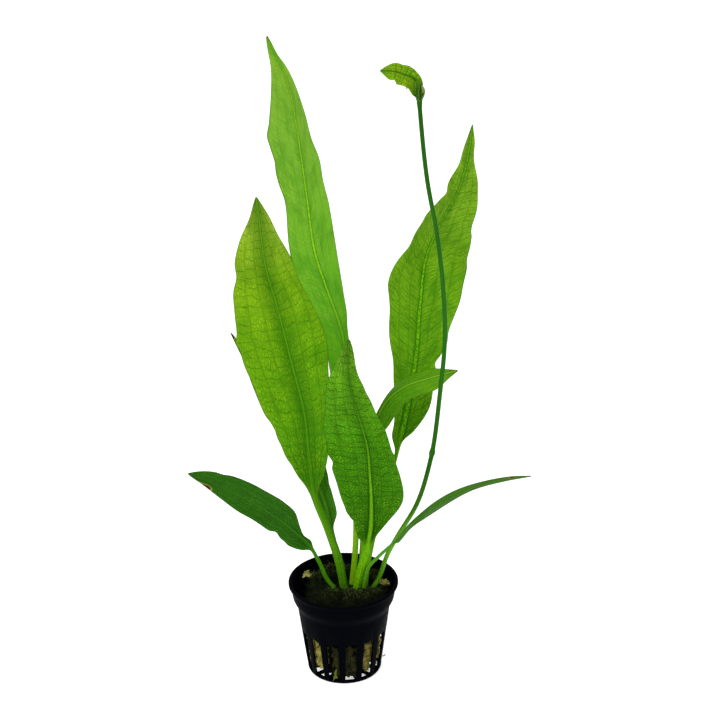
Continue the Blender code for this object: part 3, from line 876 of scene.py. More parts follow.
LEAVES = (
    LeafForm(
        node="leaf_tall",
        rib=(
            (4.0, 4.6, 42.5), (5.7, 5.0, 56.5), (6.7, 5.6, 74.4), (6.4, 7.2, 95.4),
            (5.1, 9.5, 120.4), (3.8, 11.5, 148.3), (1.5, 13.0, 178.3), (-4.8, 15.0, 198.5),
            (-10.3, 17.5, 216.1), (-14.0, 24.0, 243.6), (-17.7, 31.0, 272.7),
            (-21.8, 38.0, 294.0), (-31.0, 46.0, 314.6),
        ),
        widths=(
            (0.0, 1.4, 1.4), (0.22, 1.6, 1.6), (0.32, 5.0, 3.6), (0.40, 9.4, 4.6),
            (0.48, 10.8, 5.4), (0.56, 10.6, 9.4), (0.64, 11.8, 13.4), (0.73, 11.6, 14.2),
            (0.80, 15.0, 15.2), (0.86, 14.6, 13.1), (0.93, 9.4, 5.9), (1.0, 0.3, 0.3),
        ),
        turn=((0.0, 10), (0.30, 34), (0.44, 44), (0.52, 34), (0.60, 18), (0.70, 26), (0.83, 42), (1.0, 46)),
        fold=((0.0, 8), (0.60, 14), (0.85, 20), (1.0, 20)),
        stalk=1.4, blade=0.26, wave=(0.8, 5),
        slope=1.0, rib_lift=0.18, beads=0.35, quilt=0.10, sway=1.0, tip_brown=1.6,
        left_bays=((0.745, 0.4, 0.014), (0.79, -1.4, 0.018), (0.835, 1.2, 0.014), (0.955, -1.6, 0.028)),
        right_bays=(
            (0.45, 1.8, 0.012), (0.495, -1.2, 0.02), (0.755, -1.2, 0.025),
            (0.82, -1.3, 0.02), (0.965, -1.9, 0.02),
        ),
    ),
    LeafForm(
        node="leaf_left",
        rib=(
            (0.4, 3.4, 42.8), (-2.1, 3.0, 58.7), (-7.5, 4.8, 76.8), (-13.5, 8.0, 92.9),
            (-16.0, 13.0, 113.4), (-17.3, 17.5, 130.0), (-24.0, 23.0, 161.6),
            (-30.1, 27.0, 188.2), (-34.7, 29.5, 206.3), (-36.7, 31.0, 225.3),
            (-38.2, 33.0, 240.6),
        ),
        widths=(
            (0.0, 2.0, 2.0), (0.22, 1.9, 1.9), (0.29, 4.6, 5.6), (0.35, 10.5, 9.4),
            (0.44, 16.3, 12.8), (0.54, 21.5, 16.4), (0.64, 23.0, 20.6), (0.73, 21.4, 20.8),
            (0.80, 18.4, 16.0), (0.88, 12.7, 11.0), (0.94, 7.2, 6.2), (1.0, 0.3, 0.3),
        ),
        turn=((0.0, 0), (1.0, -6)),
        fold=((0.0, 8), (0.60, 11), (1.0, 12)),
        stalk=2.0, blade=0.24, wave=(0.7, 6),
        slope=0.35, rib_lift=0.12, quilt=0.24, sway=0.9, tip_brown=0.9,
        left_bays=(
            (0.34, -0.5, 0.015), (0.56, -1.2, 0.035), (0.675, 1.2, 0.015),
            (0.825, -1.8, 0.02), (0.95, -1.3, 0.03),
        ),
        right_bays=((0.91, -0.8, 0.03),),
    ),
    LeafForm(
        node="leaf_front",
        rib=(
            (6.5, -0.6, 42.4), (8.6, -3.6, 56.4), (11.6, -7.6, 70.2), (13.6, -9.4, 82.2),
            (14.2, -12.0, 98.1), (13.7, -14.0, 114.1), (12.3, -16.0, 132.6),
            (8.8, -17.0, 147.1), (5.2, -18.0, 162.7), (4.0, -19.0, 178.2), (4.6, -20.0, 188.6),
        ),
        widths=(
            (0.0, 2.0, 2.0), (0.17, 2.0, 2.0), (0.24, 5.2, 2.8), (0.30, 8.2, 6.6),
            (0.38, 12.6, 14.0), (0.46, 15.7, 16.8), (0.56, 19.4, 15.0), (0.66, 19.4, 13.2),
            (0.76, 15.9, 12.2), (0.86, 10.0, 7.8), (0.94, 4.4, 3.5), (1.0, 0.3, 0.3),
        ),
        turn=((0.0, 0), (0.35, 0), (0.55, 18), (0.75, 28), (1.0, 30)),
        fold=((0.0, 10), (1.0, 14)),
        stalk=2.0, blade=0.19, wave=(0.8, 7),
        slope=0.30, rib_lift=0.55, quilt=0.30, sway=0.8, tip_brown=0.8, step=0.7,
        left_bays=((0.32, -0.9, 0.012), (0.365, 0.5, 0.02), (0.555, -1.8, 0.022)),
        right_bays=((0.34, -0.6, 0.04), (0.595, 1.0, 0.012), (0.82, -0.9, 0.025)),
    ),
    LeafForm(
        node="leaf_right",
        rib=(
            (10.9, 3.0, 42.2), (12.5, 3.6, 55.3), (15.8, 6.2, 71.2), (20.8, 10.0, 88.5),
            (26.7, 14.0, 108.8), (32.2, 18.0, 130.6), (37.5, 24.0, 159.4),
            (40.3, 31.0, 189.3), (43.2, 35.0, 208.7), (50.3, 38.5, 224.0),
            (59.3, 42.6, 240.2), (63.6, 46.0, 256.1), (65.7, 49.0, 269.8),
        ),
        widths=(
            (0.0, 1.2, 1.2), (0.30, 1.4, 1.4), (0.33, 5.4, 1.6), (0.36, 5.0, 5.6),
            (0.41, 7.0, 10.6), (0.47, 10.4, 10.9), (0.54, 14.2, 12.7), (0.60, 16.3, 17.0),
            (0.67, 19.3, 20.0), (0.73, 16.6, 21.4), (0.79, 15.6, 19.2), (0.85, 10.4, 13.8),
            (0.92, 5.2, 4.4), (1.0, 0.3, 0.3),
        ),
        turn=((0.0, 0), (0.50, 0), (0.66, -10), (0.76, -34), (0.86, -28), (0.94, -10), (1.0, -5)),
        fold=((0.0, 8), (0.75, 14), (1.0, 12)),
        stalk=1.2, blade=0.29, wave=(0.8, 6),
        slope=0.8, rib_lift=0.35, beads=0.9, quilt=0.20, sway=0.8, tip_brown=1.0,
        spots=(
            Spot(0.76, 0.65, 1.4, 1.2, 0.0, 0.7), Spot(0.66, 0.29, 1.3, 1.1, 0.0, 0.6),
            Spot(0.62, 0.37, 1.0, 1.0, 0.0, 0.5), Spot(0.60, -0.15, 1.0, 0.9, 0.0, 0.5),
        ),
        left_bays=(
            (0.5, -0.6, 0.03), (0.62, -1.2, 0.04), (0.73, -2.2, 0.02),
            (0.8, 1.2, 0.015), (0.85, -2.0, 0.014), (0.915, -1.6, 0.025),
        ),
        right_bays=(
            (0.505, -1.6, 0.012), (0.545, 1.5, 0.018), (0.63, 0.7, 0.03),
            (0.775, 2.0, 0.03), (0.87, -1.2, 0.02), (0.965, 0.8, 0.02),
        ),
    ),
    LeafForm(
        node="leaf_arching",
        rib=(
            (7.3, 6.0, 42.5), (9.0, 6.0, 57.4), (10.1, 6.0, 75.3), (11.5, 6.0, 94.2),
            (13.7, 6.0, 116.1), (16.7, 6.0, 132.0), (22.1, 5.0, 144.8), (30.8, 3.0, 153.6),
            (42.1, 1.0, 158.7), (56.2, -2.0, 163.9),
        ),
        widths=(
            (0.0, 1.1, 1.1), (0.50, 1.1, 1.2), (0.57, 1.2, 3.2), (0.64, 1.8, 6.7),
            (0.70, 2.0, 7.8), (0.78, 4.8, 7.4), (0.85, 5.8, 7.2), (0.92, 4.4, 5.8),
            (0.97, 1.8, 2.2), (1.0, 0.3, 0.3),
        ),
        turn=((0.0, 10), (0.60, 25), (0.75, 38), (1.0, 40)),
        fold=((0.0, 0), (0.60, -26), (0.80, -34), (1.0, -6)),
        stalk=1.1, blade=0.52, wave=(0.3, 3),
        slope=0.5, rib_lift=0.30, quilt=0.10, sway=0.2, tip_brown=1.6, step=0.6,
    ),
    LeafForm(
        node="leaf_low_left",
        rib=(
            (-3.4, 2.2, 42.4), (-7.1, 1.8, 47.3), (-12.0, 0.0, 60.4), (-17.1, -2.0, 71.6),
            (-24.8, -4.0, 80.7), (-31.9, -6.0, 88.4), (-44.1, -9.0, 99.2),
            (-54.3, -12.0, 107.1), (-64.0, -15.0, 114.2), (-73.2, -18.0, 119.9),
        ),
        widths=(
            (0.0, 1.0, 1.1), (0.25, 1.1, 1.1), (0.29, 3.6, 2.2), (0.35, 6.6, 1.8),
            (0.42, 7.2, 6.9), (0.52, 7.7, 8.6), (0.62, 7.6, 8.3), (0.71, 7.5, 8.0),
            (0.80, 5.6, 7.2), (0.89, 3.5, 5.2), (0.96, 1.6, 2.5), (1.0, 0.3, 0.3),
        ),
        turn=((0.0, -20), (0.40, -36), (1.0, -42)),
        fold=((0.0, 8), (1.0, 8)),
        stalk=1.05, blade=0.24, wave=(0.3, 3),
        slope=0.4, rib_lift=0.20, quilt=0.24, sway=0.5, tip_brown=0.8, step=0.6,
        spots=(Spot(0.895, -0.95, 3.4, 1.5), Spot(0.93, -0.95, 4.5, 0.6, 0.62)),
        left_bays=((0.39, 0.5, 0.02), (0.48, -1.5, 0.025)),
        right_bays=((0.41, -0.9, 0.03), (0.84, -0.5, 0.025)),
    ),
    LeafForm(
        node="leaf_low_right",
        rib=(
            (9.7, -2.8, 41.0), (10.7, -5.4, 52.3), (12.6, -6.4, 60.3), (17.4, -7.4, 66.6),
            (25.8, -9.4, 76.2), (33.9, -11.0, 86.2), (47.4, -13.0, 98.0),
            (64.0, -14.5, 107.9), (80.1, -16.0, 113.1), (91.0, -17.0, 114.6),
        ),
        widths=(
            (0.0, 0.9, 0.9), (0.31, 1.0, 1.0), (0.37, 1.8, 5.0), (0.46, 3.6, 4.4),
            (0.56, 5.2, 7.0), (0.66, 5.2, 6.9), (0.76, 4.2, 4.7), (0.86, 2.8, 4.1),
            (0.94, 1.5, 2.4), (1.0, 0.3, 0.3),
        ),
        turn=((0.0, 60), (0.5, 92), (1.0, 96)),
        fold=((0.0, 8), (1.0, 10)),
        stalk=0.95, blade=0.31, wave=(0.2, 3),
        slope=0.4, rib_lift=0.20, quilt=0.10, sway=0.2, tip_brown=2.0, step=0.6,
        spots=(Spot(0.92, -0.2, 1.8, 1.0),),
    ),
    LeafForm(
        node="leaf_behind",
        rib=(
            (0.2, 8.2, 42.1), (-2.4, 9.4, 56.7), (-5.6, 12.0, 72.3), (-9.1, 15.6, 86.8),
            (-14.2, 20.0, 100.2), (-21.4, 24.5, 115.1), (-31.0, 28.5, 130.9),
            (-40.4, 31.5, 147.2), (-47.5, 33.5, 159.0), (-53.3, 35.0, 170.2),
        ),
        widths=(
            (0.0, 1.1, 1.1), (0.19, 1.2, 1.4), (0.25, 3.0, 4.3), (0.34, 5.4, 5.2),
            (0.46, 7.2, 7.6), (0.56, 8.4, 8.0), (0.66, 7.6, 7.6), (0.78, 5.2, 5.6),
            (0.90, 2.6, 3.0), (1.0, 0.3, 0.3),
        ),
        turn=((0.0, -10), (1.0, -10)),
        fold=((0.0, 10), (1.0, 10)),
        stalk=1.2, blade=0.20, wave=(0.3, 4),
        slope=0.4, rib_lift=0.20, quilt=0.16, sway=0.5, tip_brown=5.0,
        left_bays=((0.51, 0.9, 0.03), (0.64, -1.3, 0.035), (0.9, -1.2, 0.07)),
        right_bays=((0.37, -0.4, 0.015),),
    ),
    LeafForm(
        node="plantlet_leaf",
        rib=(
            (36.5, -6.7, 296.8), (37.0, -6.8, 301.0), (36.1, -7.2, 305.5), (33.7, -7.9, 307.9),
            (30.9, -8.7, 309.0), (28.1, -9.7, 310.4), (24.3, -11.0, 311.4), (19.9, -12.0, 311.7),
        ),
        widths=(
            (0.0, 1.3, 1.0), (0.12, 3.3, 1.6), (0.28, 4.9, 2.4), (0.42, 6.0, 3.2),
            (0.54, 5.5, 4.0), (0.66, 5.3, 4.4), (0.78, 4.6, 3.6), (0.90, 2.6, 2.0),
            (1.0, 0.2, 0.2),
        ),
        turn=((0.0, -4), (0.5, -14), (1.0, -10)),
        fold=((0.0, 12), (1.0, 10)),
        stalk=0.4, blade=0.02, wave=(0.35, 4),
        slope=0.5, rib_lift=0.10, quilt=0.10, sway=0.2, step=0.25,
        left_bays=((0.55, -0.5, 0.06), (0.75, -1.1, 0.05), (0.88, 0.3, 0.04)),
        right_bays=((0.2, 0.2, 0.07), (0.52, 0.3, 0.06), (0.67, -0.6, 0.05), (0.82, 0.3, 0.05)),
    ),
    LeafForm(
        node="plantlet_bract",
        rib=((37.8, -6.2, 296.7), (38.5, -6.2, 299.0), (38.8, -6.5, 301.6), (38.4, -7.1, 304.0)),
        widths=((0.0, 0.8, 0.8), (0.3, 1.5, 1.4), (0.6, 1.5, 1.4), (1.0, 0.2, 0.2)),
        turn=((0.0, -30), (1.0, -36)),
        fold=((0.0, 26), (1.0, 30)),
        stalk=0.35, blade=0.02, wave=(0.0, 1),
        rib_lift=0.0, quilt=0.02, sway=0.0, step=0.2,
    ),
    LeafForm(
        node="plantlet_bud",
        rib=((37.2, -5.2, 296.7), (37.5, -4.4, 299.4), (37.5, -4.2, 302.0), (37.3, -4.6, 304.4)),
        widths=((0.0, 0.35, 0.35), (0.35, 1.1, 1.1), (0.7, 1.4, 1.4), (1.0, 0.2, 0.2)),
        turn=((0.0, 0), (1.0, 0)),
        fold=((0.0, 30), (1.0, 40)),
        stalk=0.35, blade=0.02, wave=(0.0, 1),
        rib_lift=0.0, quilt=0.02, sway=0.0, step=0.2,
    ),
    # The hood and the fold are dark leaves in the heart's hollow, which carry its painted shade.
    LeafForm(
        node="plantlet_hood",
        rib=((37.5, -7.9, 296.8), (37.2, -9.0, 300.5), (36.9, -9.2, 304.0), (36.3, -8.7, 307.2)),
        widths=((0.0, 0.5, 0.5), (0.3, 1.5, 1.5), (0.6, 1.9, 1.8), (0.85, 1.4, 1.4), (1.0, 0.2, 0.2)),
        turn=((0.0, 0), (1.0, 10)),
        fold=((0.0, 35), (1.0, 45)),
        stalk=0.35, blade=0.02, wave=(0.2, 2),
        quilt=0.03, sway=0.0, step=0.2, in_cad=False,
    ),
    LeafForm(
        node="plantlet_fold",
        rib=((37.4, -8.3, 296.8), (36.8, -9.9, 299.4), (36.9, -10.2, 302.0), (37.4, -9.8, 304.6)),
        widths=((0.0, 0.4, 0.4), (0.4, 0.9, 0.8), (0.7, 0.8, 0.9), (1.0, 0.2, 0.2)),
        turn=((0.0, 30), (1.0, 40)),
        fold=((0.0, 50), (1.0, 55)),
        stalk=0.3, blade=0.02, wave=(0.0, 1),
        quilt=0.03, sway=0.0, step=0.2, in_cad=False,
    ),
)


@dataclass(frozen=True)
class BlackPolypropylene(Finish):
    """Injection-moulded black PP.

    The eye gets a near-black, slightly blue satin skin, a little dust on it, and faint flow marks.
    """

    colour: str = "030408"
    dust: str = "5d6266"
    rough: float = 0.46
    flow_mm: float = 0.9
    haze_mm: float = 11.1
    dust_mm: float = 4.17
    name: str = "black_polypropylene_injection_moulded"

    def surface(self, tree: Tree) -> Node:
        """Adds the satin plastic, its flow marks and its dust.

        Args:
            tree: the material's node tree.

        Returns:
            The shader node.
        """
        where = add(tree, "NewGeometry").outputs["Position"]
        # Flow marks run up the wall, about a millimetre apart.
        drawn = add(tree, "VectorMath", {0: where, 1: (1.0, 1.0, 0.08)}, operation="MULTIPLY")
        flow = add(tree, "TexNoise", {"Vector": drawn, "Scale": 1.0 / (self.flow_mm * MM), "Detail": 2.0})
        smoothest, roughest = self.rough - 0.06, self.rough + 0.1
        rough = patches(tree, where, self.haze_mm * MM, 4.0, (0.3, 0.7), low=smoothest, high=roughest)
        # Dust specks are 0.4 mm across, and about one place in four has one.
        cells = add(tree, "TexVoronoi", {"Vector": where, "Scale": 1.0 / (self.dust_mm * MM)})
        specks = add(
            tree, "MapRange",
            {"Value": cells.outputs["Distance"], "From Min": 0.06, "From Max": 0.04},
        )
        rare = add(tree, "SeparateColor", {0: cells.outputs["Color"]})
        chosen = add(tree, "Math", {0: rare.outputs[0], 1: 0.72}, operation="GREATER_THAN")
        dusty = add(tree, "Math", {0: specks, 1: chosen}, operation="MULTIPLY")
        colour = coats(tree, linear(self.colour), (dusty, self.dust))
        bump = add(tree, "Bump", {"Height": flow, "Strength": 0.25, "Distance": 0.05 * MM})
        return add(
            tree, "BsdfPrincipled",
            {
                "Base Color": colour, "Roughness": rough, "IOR": 1.49,
                "Specular IOR Level": 0.006, "Normal": bump,
            },
        )


@dataclass
class NetPot(Piece):
    """The slotted pot, turned and then cut, at the CAD pot's sizes.

    under and over are how far the window cutters stand out of the floor, and broken_edge is the bevel
    that a mould leaves on an edge.
    """

    name: str = "net_pot"
    nodes: tuple = ("pot",)
    slot: Slot = Slot.POT
    finish: Finish = BlackPolypropylene()
    rim: float = 27.5 * MM
    rim_depth: float = 1.8 * MM
    rim_width: float = 1.5 * MM
    lip: float = 0.5 * MM
    collar: float = 25.7 * MM
    collar_height: float = 42.6 * MM
    shoulder: float = 23.1 * MM
    shoulder_height: float = 35.2 * MM
    foot: float = 19.4 * MM
    foot_height: float = 6.4 * MM
    heel: float = 18.9 * MM
    heel_height: float = 3.4 * MM
    base: float = 17.8 * MM
    wall: float = 1.0 * MM
    floor: float = 1.2 * MM
    slots: int = 14
    first_slot: float = math.radians(-80.7)
    slot_width: float = 5.7 * MM
    slot_low: float = 1.7 * MM
    slot_high: float = 24.5 * MM
    window_in: float = 8.5 * MM
    window_out: float = 16.4 * MM
    rib: float = 1.7 * MM
    under: float = 1.0 * MM
    over: float = 0.3 * MM
    broken_edge: float = 0.18 * MM
    steps: int = 168

    def profile(self) -> list[tuple[float, float]]:
        """The section, from the middle of the floor up the inside and down the outside.

        Returns:
            (radius, height) of each corner, in metres.
        """
        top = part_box("pot")[1].z
        rise, flare = self.collar_height - self.shoulder_height, self.collar - self.shoulder
        # The collar leans out below the rim in a soft S: (share of its rise, share of its flare).
        bend = ((0.0, 0.0), (0.12, 0.04), (0.26, 0.14), (0.42, 0.37), (0.58, 0.62), (0.78, 0.86), (1.0, 1.0))
        collar = [(self.shoulder + flare * out, self.shoulder_height + rise * up) for up, out in bend]
        under = top - self.rim_depth
        curve, mouth = self.lip, self.rim - self.rim_width
        lip = [
            (self.rim - curve + curve * math.cos(a), top - curve + curve * math.sin(a))
            for a in np.radians(np.linspace(90.0, -20.0, 7))
        ]
        return [
            (0.0, self.floor), (self.base - self.wall, self.floor), (self.heel - self.wall, self.heel_height),
            (self.foot - self.wall, self.foot_height), *((r - self.wall, z) for r, z in collar),
            (self.collar - 0.6 * self.wall, under), (mouth - 0.5 * curve, top - 0.6 * curve),
            (mouth, top - 0.1 * curve), (mouth + 0.4 * curve, top), *lip, (self.rim, under + curve),
            (self.rim - 0.5 * curve, under), (self.collar + curve, under - 0.1 * curve),
            (self.collar + 0.2 * curve, under - curve), *reversed(collar), (self.foot, self.foot_height),
            (self.heel, self.heel_height), (self.base + 0.9 * self.wall, 1.1 * self.wall),
            (self.base + 0.6 * self.wall, 0.35 * self.wall), (self.base, 0.0), (0.0, 0.0),
        ]

    def wedge(self, mesh: bmesh.types.BMesh, angle: float, near: tuple, far: tuple, levels: tuple) -> None:
        """Adds one tapered block to the cutter.

        Args:
            mesh: the cutter's mesh.
            angle: which way it points, in radians.
            near: radius and width at its inner end.
            far: radius and width at its outer end.
            levels: its bottom and its top.
        """
        turn = Matrix.Rotation(angle, 3, "Z")
        for corner in bmesh.ops.create_cube(mesh, size=1.0)["verts"]:
            radius, width = far if corner.co.x > 0.0 else near
            level = levels[corner.co.z > 0.0]
            corner.co = turn @ Vector((radius, math.copysign(width / 2.0, corner.co.y), level))

    def build(self) -> bpy.types.Mesh:
        """Turns the profile and cuts the slots and floor windows.

        Returns:
            The mesh, in metres.
        """
        line = bmesh.new()
        points = [line.verts.new((x, 0.0, z)) for x, z in self.profile()]
        for first, second in zip(points[:-1], points[1:]):
            line.edges.new((first, second))
        pot = linked("pot_turned", mesh_from(line, "pot_section"))
        screw = pot.modifiers.new("turn", "SCREW")
        screw.axis, screw.angle = "Z", 2.0 * math.pi
        screw.steps = screw.render_steps = self.steps
        screw.use_merge_vertices, screw.merge_threshold = True, 0.00001
        pitch = 2.0 * math.pi / self.slots
        cutters = bmesh.new()
        for slot in range(self.slots):
            angle = self.first_slot + slot * pitch
            near, far = ((radius, self.slot_width) for radius in (self.window_out, self.rim))
            self.wedge(cutters, angle, near, far, (self.slot_low, self.slot_high))
            near = (self.window_in, self.window_in * pitch - self.rib)
            far = (self.window_out, self.window_out * pitch - self.rib)
            self.wedge(cutters, angle, near, far, (-self.under, self.floor + self.over))
        bmesh.ops.recalc_face_normals(cutters, faces=cutters.faces[:])
        cutter = linked("pot_holes", mesh_from(cutters, "pot_holes"))
        cut = pot.modifiers.new("cut", "BOOLEAN")
        cut.operation, cut.solver, cut.object = "DIFFERENCE", "EXACT", cutter
        soften = pot.modifiers.new("soften", "BEVEL")
        soften.width, soften.segments, soften.limit_method = self.broken_edge, 2, "ANGLE"
        soften.angle_limit = math.radians(50.0)
        ready = bpy.data.meshes.new_from_object(pot.evaluated_get(bpy.context.evaluated_depsgraph_get()))
        for used in (pot, cutter):
            bpy.data.objects.remove(used, do_unlink=True)
        ready.shade_smooth()
        ready.set_sharp_from_angle(angle=math.radians(32.0))
        return ready


@dataclass(frozen=True)
class GrownOverWool(Finish):
    """Mineral wool, spun from molten rock and kept wet until algae grew over it.

    The eye gets near black in its pits, painted there as shade, and olive on its raised fibres,
    their algae colour with a painted highlight where they catch the light.
    """

    pit: str = "020301"
    film: str = "10160a"
    fibre: str = "2c3318"
    clump_mm: float = 4.35
    fibre_mm: float = 0.667
    name: str = "mineral_wool_with_algae"

    def surface(self, tree: Tree) -> Node:
        """Adds the wool's clumps and fibres.

        Args:
            tree: the material's node tree.

        Returns:
            The shader node.
        """
        where = add(tree, "NewGeometry").outputs["Position"]
        # Real fibres are too fine to show, so they are drawn as bundles half a millimetre and more apart.
        clumps = add(
            tree, "TexNoise",
            {"Vector": where, "Scale": 1.0 / (self.clump_mm * MM), "Detail": 5.0, "Roughness": 0.7},
        )
        fibres = add(
            tree, "TexNoise",
            {"Vector": where, "Scale": 1.0 / (self.fibre_mm * MM), "Detail": 3.0, "Distortion": 1.5},
        )
        # The pit colour stays where the clumps are low, which the bump also sinks: painted shade. The fibre
        # colour goes where the fibres stand up: their olive with a painted highlight.
        deep = add(tree, "MapRange", {"Value": clumps, "From Min": 0.40, "From Max": 0.62})
        thin = add(tree, "MapRange", {"Value": fibres, "From Min": 0.50, "From Max": 0.75, "To Max": 0.6})
        colour = coats(tree, linear(self.pit), (deep, self.film), (thin, self.fibre))
        height = add(tree, "Math", {0: fibres, 1: 0.6, 2: clumps}, operation="MULTIPLY_ADD")
        bump = add(tree, "Bump", {"Height": height, "Strength": 1.0, "Distance": 0.6 * MM})
        return add(
            tree, "BsdfPrincipled",
            {"Base Color": colour, "Roughness": 0.8, "Specular IOR Level": 0.05, "Normal": bump},
        )


@dataclass(frozen=True)
class StrandFinish(Finish):
    """Moss and loose fibres: each strand has its own tone between two colours, and a dull skin."""

    name: str
    dark: str
    light: str
    rare: str
    rough: float = 0.7
    damp_mm: float = 3.33

    def surface(self, tree: Tree) -> Node:
        """Adds the strands' tones and damp places.

        Args:
            tree: the material's node tree.

        Returns:
            The shader node.
        """
        tone = add(tree, "Attribute", attribute_name="tone").outputs["Fac"]
        where = add(tree, "NewGeometry").outputs["Position"]
        wet = patches(tree, where, self.damp_mm * MM, 3.0, (0.35, 0.65), low=-0.25, high=0.25)
        mixed = add(tree, "Math", {0: tone, 1: wet}, operation="ADD", use_clamp=True)
        odd = add(tree, "MapRange", {"Value": tone, "From Min": 0.93, "From Max": 0.98})
        colour = coats(tree, linear(self.dark), (mixed, self.light), (odd, self.rare))
        return add(
            tree, "BsdfPrincipled",
            {"Base Color": colour, "Roughness": self.rough, "Specular IOR Level": 0.08},
        )


@dataclass(frozen=True)
class PaperyWool(Finish):
    """Torn dry wool felt: beige and papery, with yellow-green algae stains and a soft fibrous surface."""

    name: str = "dry_wool_felt_torn"
    pale: str = "a39a5e"
    stained: str = "5b5721"
    dark_patch: str = "1c1c0c"
    dark_patch_from: float = 0.52
    stain_mm: float = 3.85
    dark_patch_mm: float = 2.38
    fibre_mm: float = 0.714

    def surface(self, tree: Tree) -> Node:
        """Adds the felt's stains, dirt and fibres.

        Args:
            Adds the felt's stains, darker patches and fibres.

        Returns:
            The shader node.
        """
        where = add(tree, "NewGeometry").outputs["Position"]
        # Real fibres are too fine to show, so they are drawn as bundles.
        fibres = add(
            tree, "TexNoise",
            {"Vector": where, "Scale": 1.0 / (self.fibre_mm * MM), "Detail": 3.0, "Distortion": 2.0},
        )
        spread = patches(tree, where, self.stain_mm * MM, 4.0, (0.36, 0.62), Roughness=0.65)
        levels = (self.dark_patch_from, self.dark_patch_from + 0.12)
        darkened = patches(tree, where, self.dark_patch_mm * MM, 5.0, levels, high=0.9)
        colour = coats(tree, linear(self.stained), (spread, self.pale), (darkened, self.dark_patch))
        bump = add(tree, "Bump", {"Height": fibres, "Strength": 0.7, "Distance": 0.2 * MM})
        return add(
            tree, "BsdfPrincipled",
            {"Base Color": colour, "Roughness": 0.85, "Specular IOR Level": 0.08, "Normal": bump},
        )


@dataclass(frozen=True)
class Mound:
    """A rise, or a pit where height is negative, in the top of the wool. All in mm."""

    x: float
    y: float
    radius: float
    height: float


@dataclass
class WoolBlock(Piece):
    """The block of wool, whose rough top carries the moss. Sizes are in mm.

    reach is how far it may go at its top, and wall_foot and wall_flare keep it inside the pot below that.
    base is where it stands, and edge_drop how much lower the top's edge is.
    """

    name: str = "wool_block_fibrous"
    nodes: tuple = ("wool_plug",)
    slot: Slot = Slot.WOOL
    finish: Finish = GrownOverWool()
    foot: float = 11.8
    waist: float = 18.6
    waist_level: float = 30.0
    top_half: float = 20.2
    shift: float = 1.6
    level: float = 43.0
    corner: float = 3.0
    reach: float = 23.3
    wall_foot: float = 17.9
    wall_flare: float = 3.6
    base: float = 1.6
    edge_drop: float = 1.6
    cuts: int = 63
    mounds: tuple = (
        Mound(-6.0, 17.0, 4.5, 2.6), Mound(2.5, 17.5, 4.0, 2.2), Mound(-16.0, 11.0, 4.5, 1.6),
        Mound(-6.5, 9.0, 3.0, -3.2), Mound(14.0, 13.5, 4.0, 1.0), Mound(20.0, 3.5, 3.0, 0.6),
        Mound(-10.0, -9.0, 5.0, 1.0), Mound(4.0, -13.0, 3.5, 0.8), Mound(-3.0, -17.5, 3.6, -2.6),
        Mound(9.0, -9.0, 4.0, 1.8), Mound(16.0, -8.0, 4.0, 0.9), Mound(-5.0, -4.0, 4.0, 3.2),
        Mound(3.0, -6.0, 4.0, 3.2), Mound(9.0, -5.0, 3.5, 3.0), Mound(15.0, -3.0, 3.5, 2.6),
    )

    def top(self, x: Array, y: Array) -> Array:
        """Height of the top over each place, in mm.

        Args:
            x: mm to the right.
            y: mm to the back.

        Returns:
            The heights.
        """
        level = self.level + 1.0 * ripple(x / 9.0, y / 9.0, 11.0) + 1.2 * ripple(x / 3.6, y / 3.6, 12.0)
        level = level + 0.4 * ripple(x / 1.5, y / 1.5, 13.0)
        level = level + 1.4 * smooth(y, 6.0, 15.0)
        for mound in self.mounds:
            away = ((x - mound.x) ** 2 + (y - mound.y) ** 2) / mound.radius**2
            level = level + mound.height * np.exp(-away)
        return level

    def outline(self, share: Array) -> Array:
        """Half width at each share of the height.

        Args:
            share: 0 at the foot to 1 at the top.

        Returns:
            The half widths, in mm.
        """
        z = share * self.level
        low = self.foot + (self.waist - self.foot) * np.clip(z / self.waist_level, 0.0, 1.0)
        return low + (self.top_half - self.waist) * smooth(z, self.waist_level, 41.5)

    def build(self) -> bpy.types.Mesh:
        """Shapes the block from a finely cut cube.

        Returns:
            The mesh, in metres.
        """
        shape = bmesh.new()
        bmesh.ops.create_cube(shape, size=2.0)
        bmesh.ops.subdivide_edges(shape, edges=shape.edges[:], cuts=self.cuts, use_grid_fill=True)
        mesh = mesh_from(shape, "wool_block")
        found = np.empty(len(mesh.vertices) * 3)
        mesh.vertices.foreach_get("co", found)
        x, y, z = found.reshape(-1, 3).T
        share = (z + 1.0) / 2.0
        half = self.outline(share)
        reach = (np.abs(x) ** self.corner + np.abs(y) ** self.corner + 1e-9) ** (1.0 / self.corner)
        squeeze = half * np.maximum(np.abs(x), np.abs(y)) / reach
        skin = smooth(np.maximum(np.abs(x), np.abs(y)), 0.9, 1.0)
        rough = 0.8 * ripple(x * 5.0 + z * 3.0, y * 5.0 - z * 2.0, 8.0)
        rough += 0.4 * ripple(x * 14.0, y * 13.0 + z * 15.0, 9.0)
        px = x * squeeze + self.shift * smooth(share, 0.8, 1.0) + x * rough * skin * 0.6
        py = y * squeeze + y * rough * skin * 0.6
        radius = np.hypot(px, py) + 1e-9
        limit = np.where(share > 0.9, self.reach, self.wall_foot + (share - 0.1) * self.wall_flare)
        held = np.minimum(radius, limit) / radius
        px, py = px * held, py * held
        lid = self.base + share * (self.top(px, py) - self.base)
        edge = smooth(np.maximum(np.abs(x), np.abs(y)), 0.86, 1.0)
        level = lid - self.edge_drop * edge * (share > 0.999)
        points = np.stack([px, py, level], 1) * MM
        mesh.vertices.foreach_set("co", points.astype(np.float32).ravel())
        mesh.update()
        return mesh


@dataclass(frozen=True)
class Strand:
    """One kind of strand: how long, how thick and how upright, in mm."""

    short: float
    long: float
    radius: float
    rise: float
    curl: float


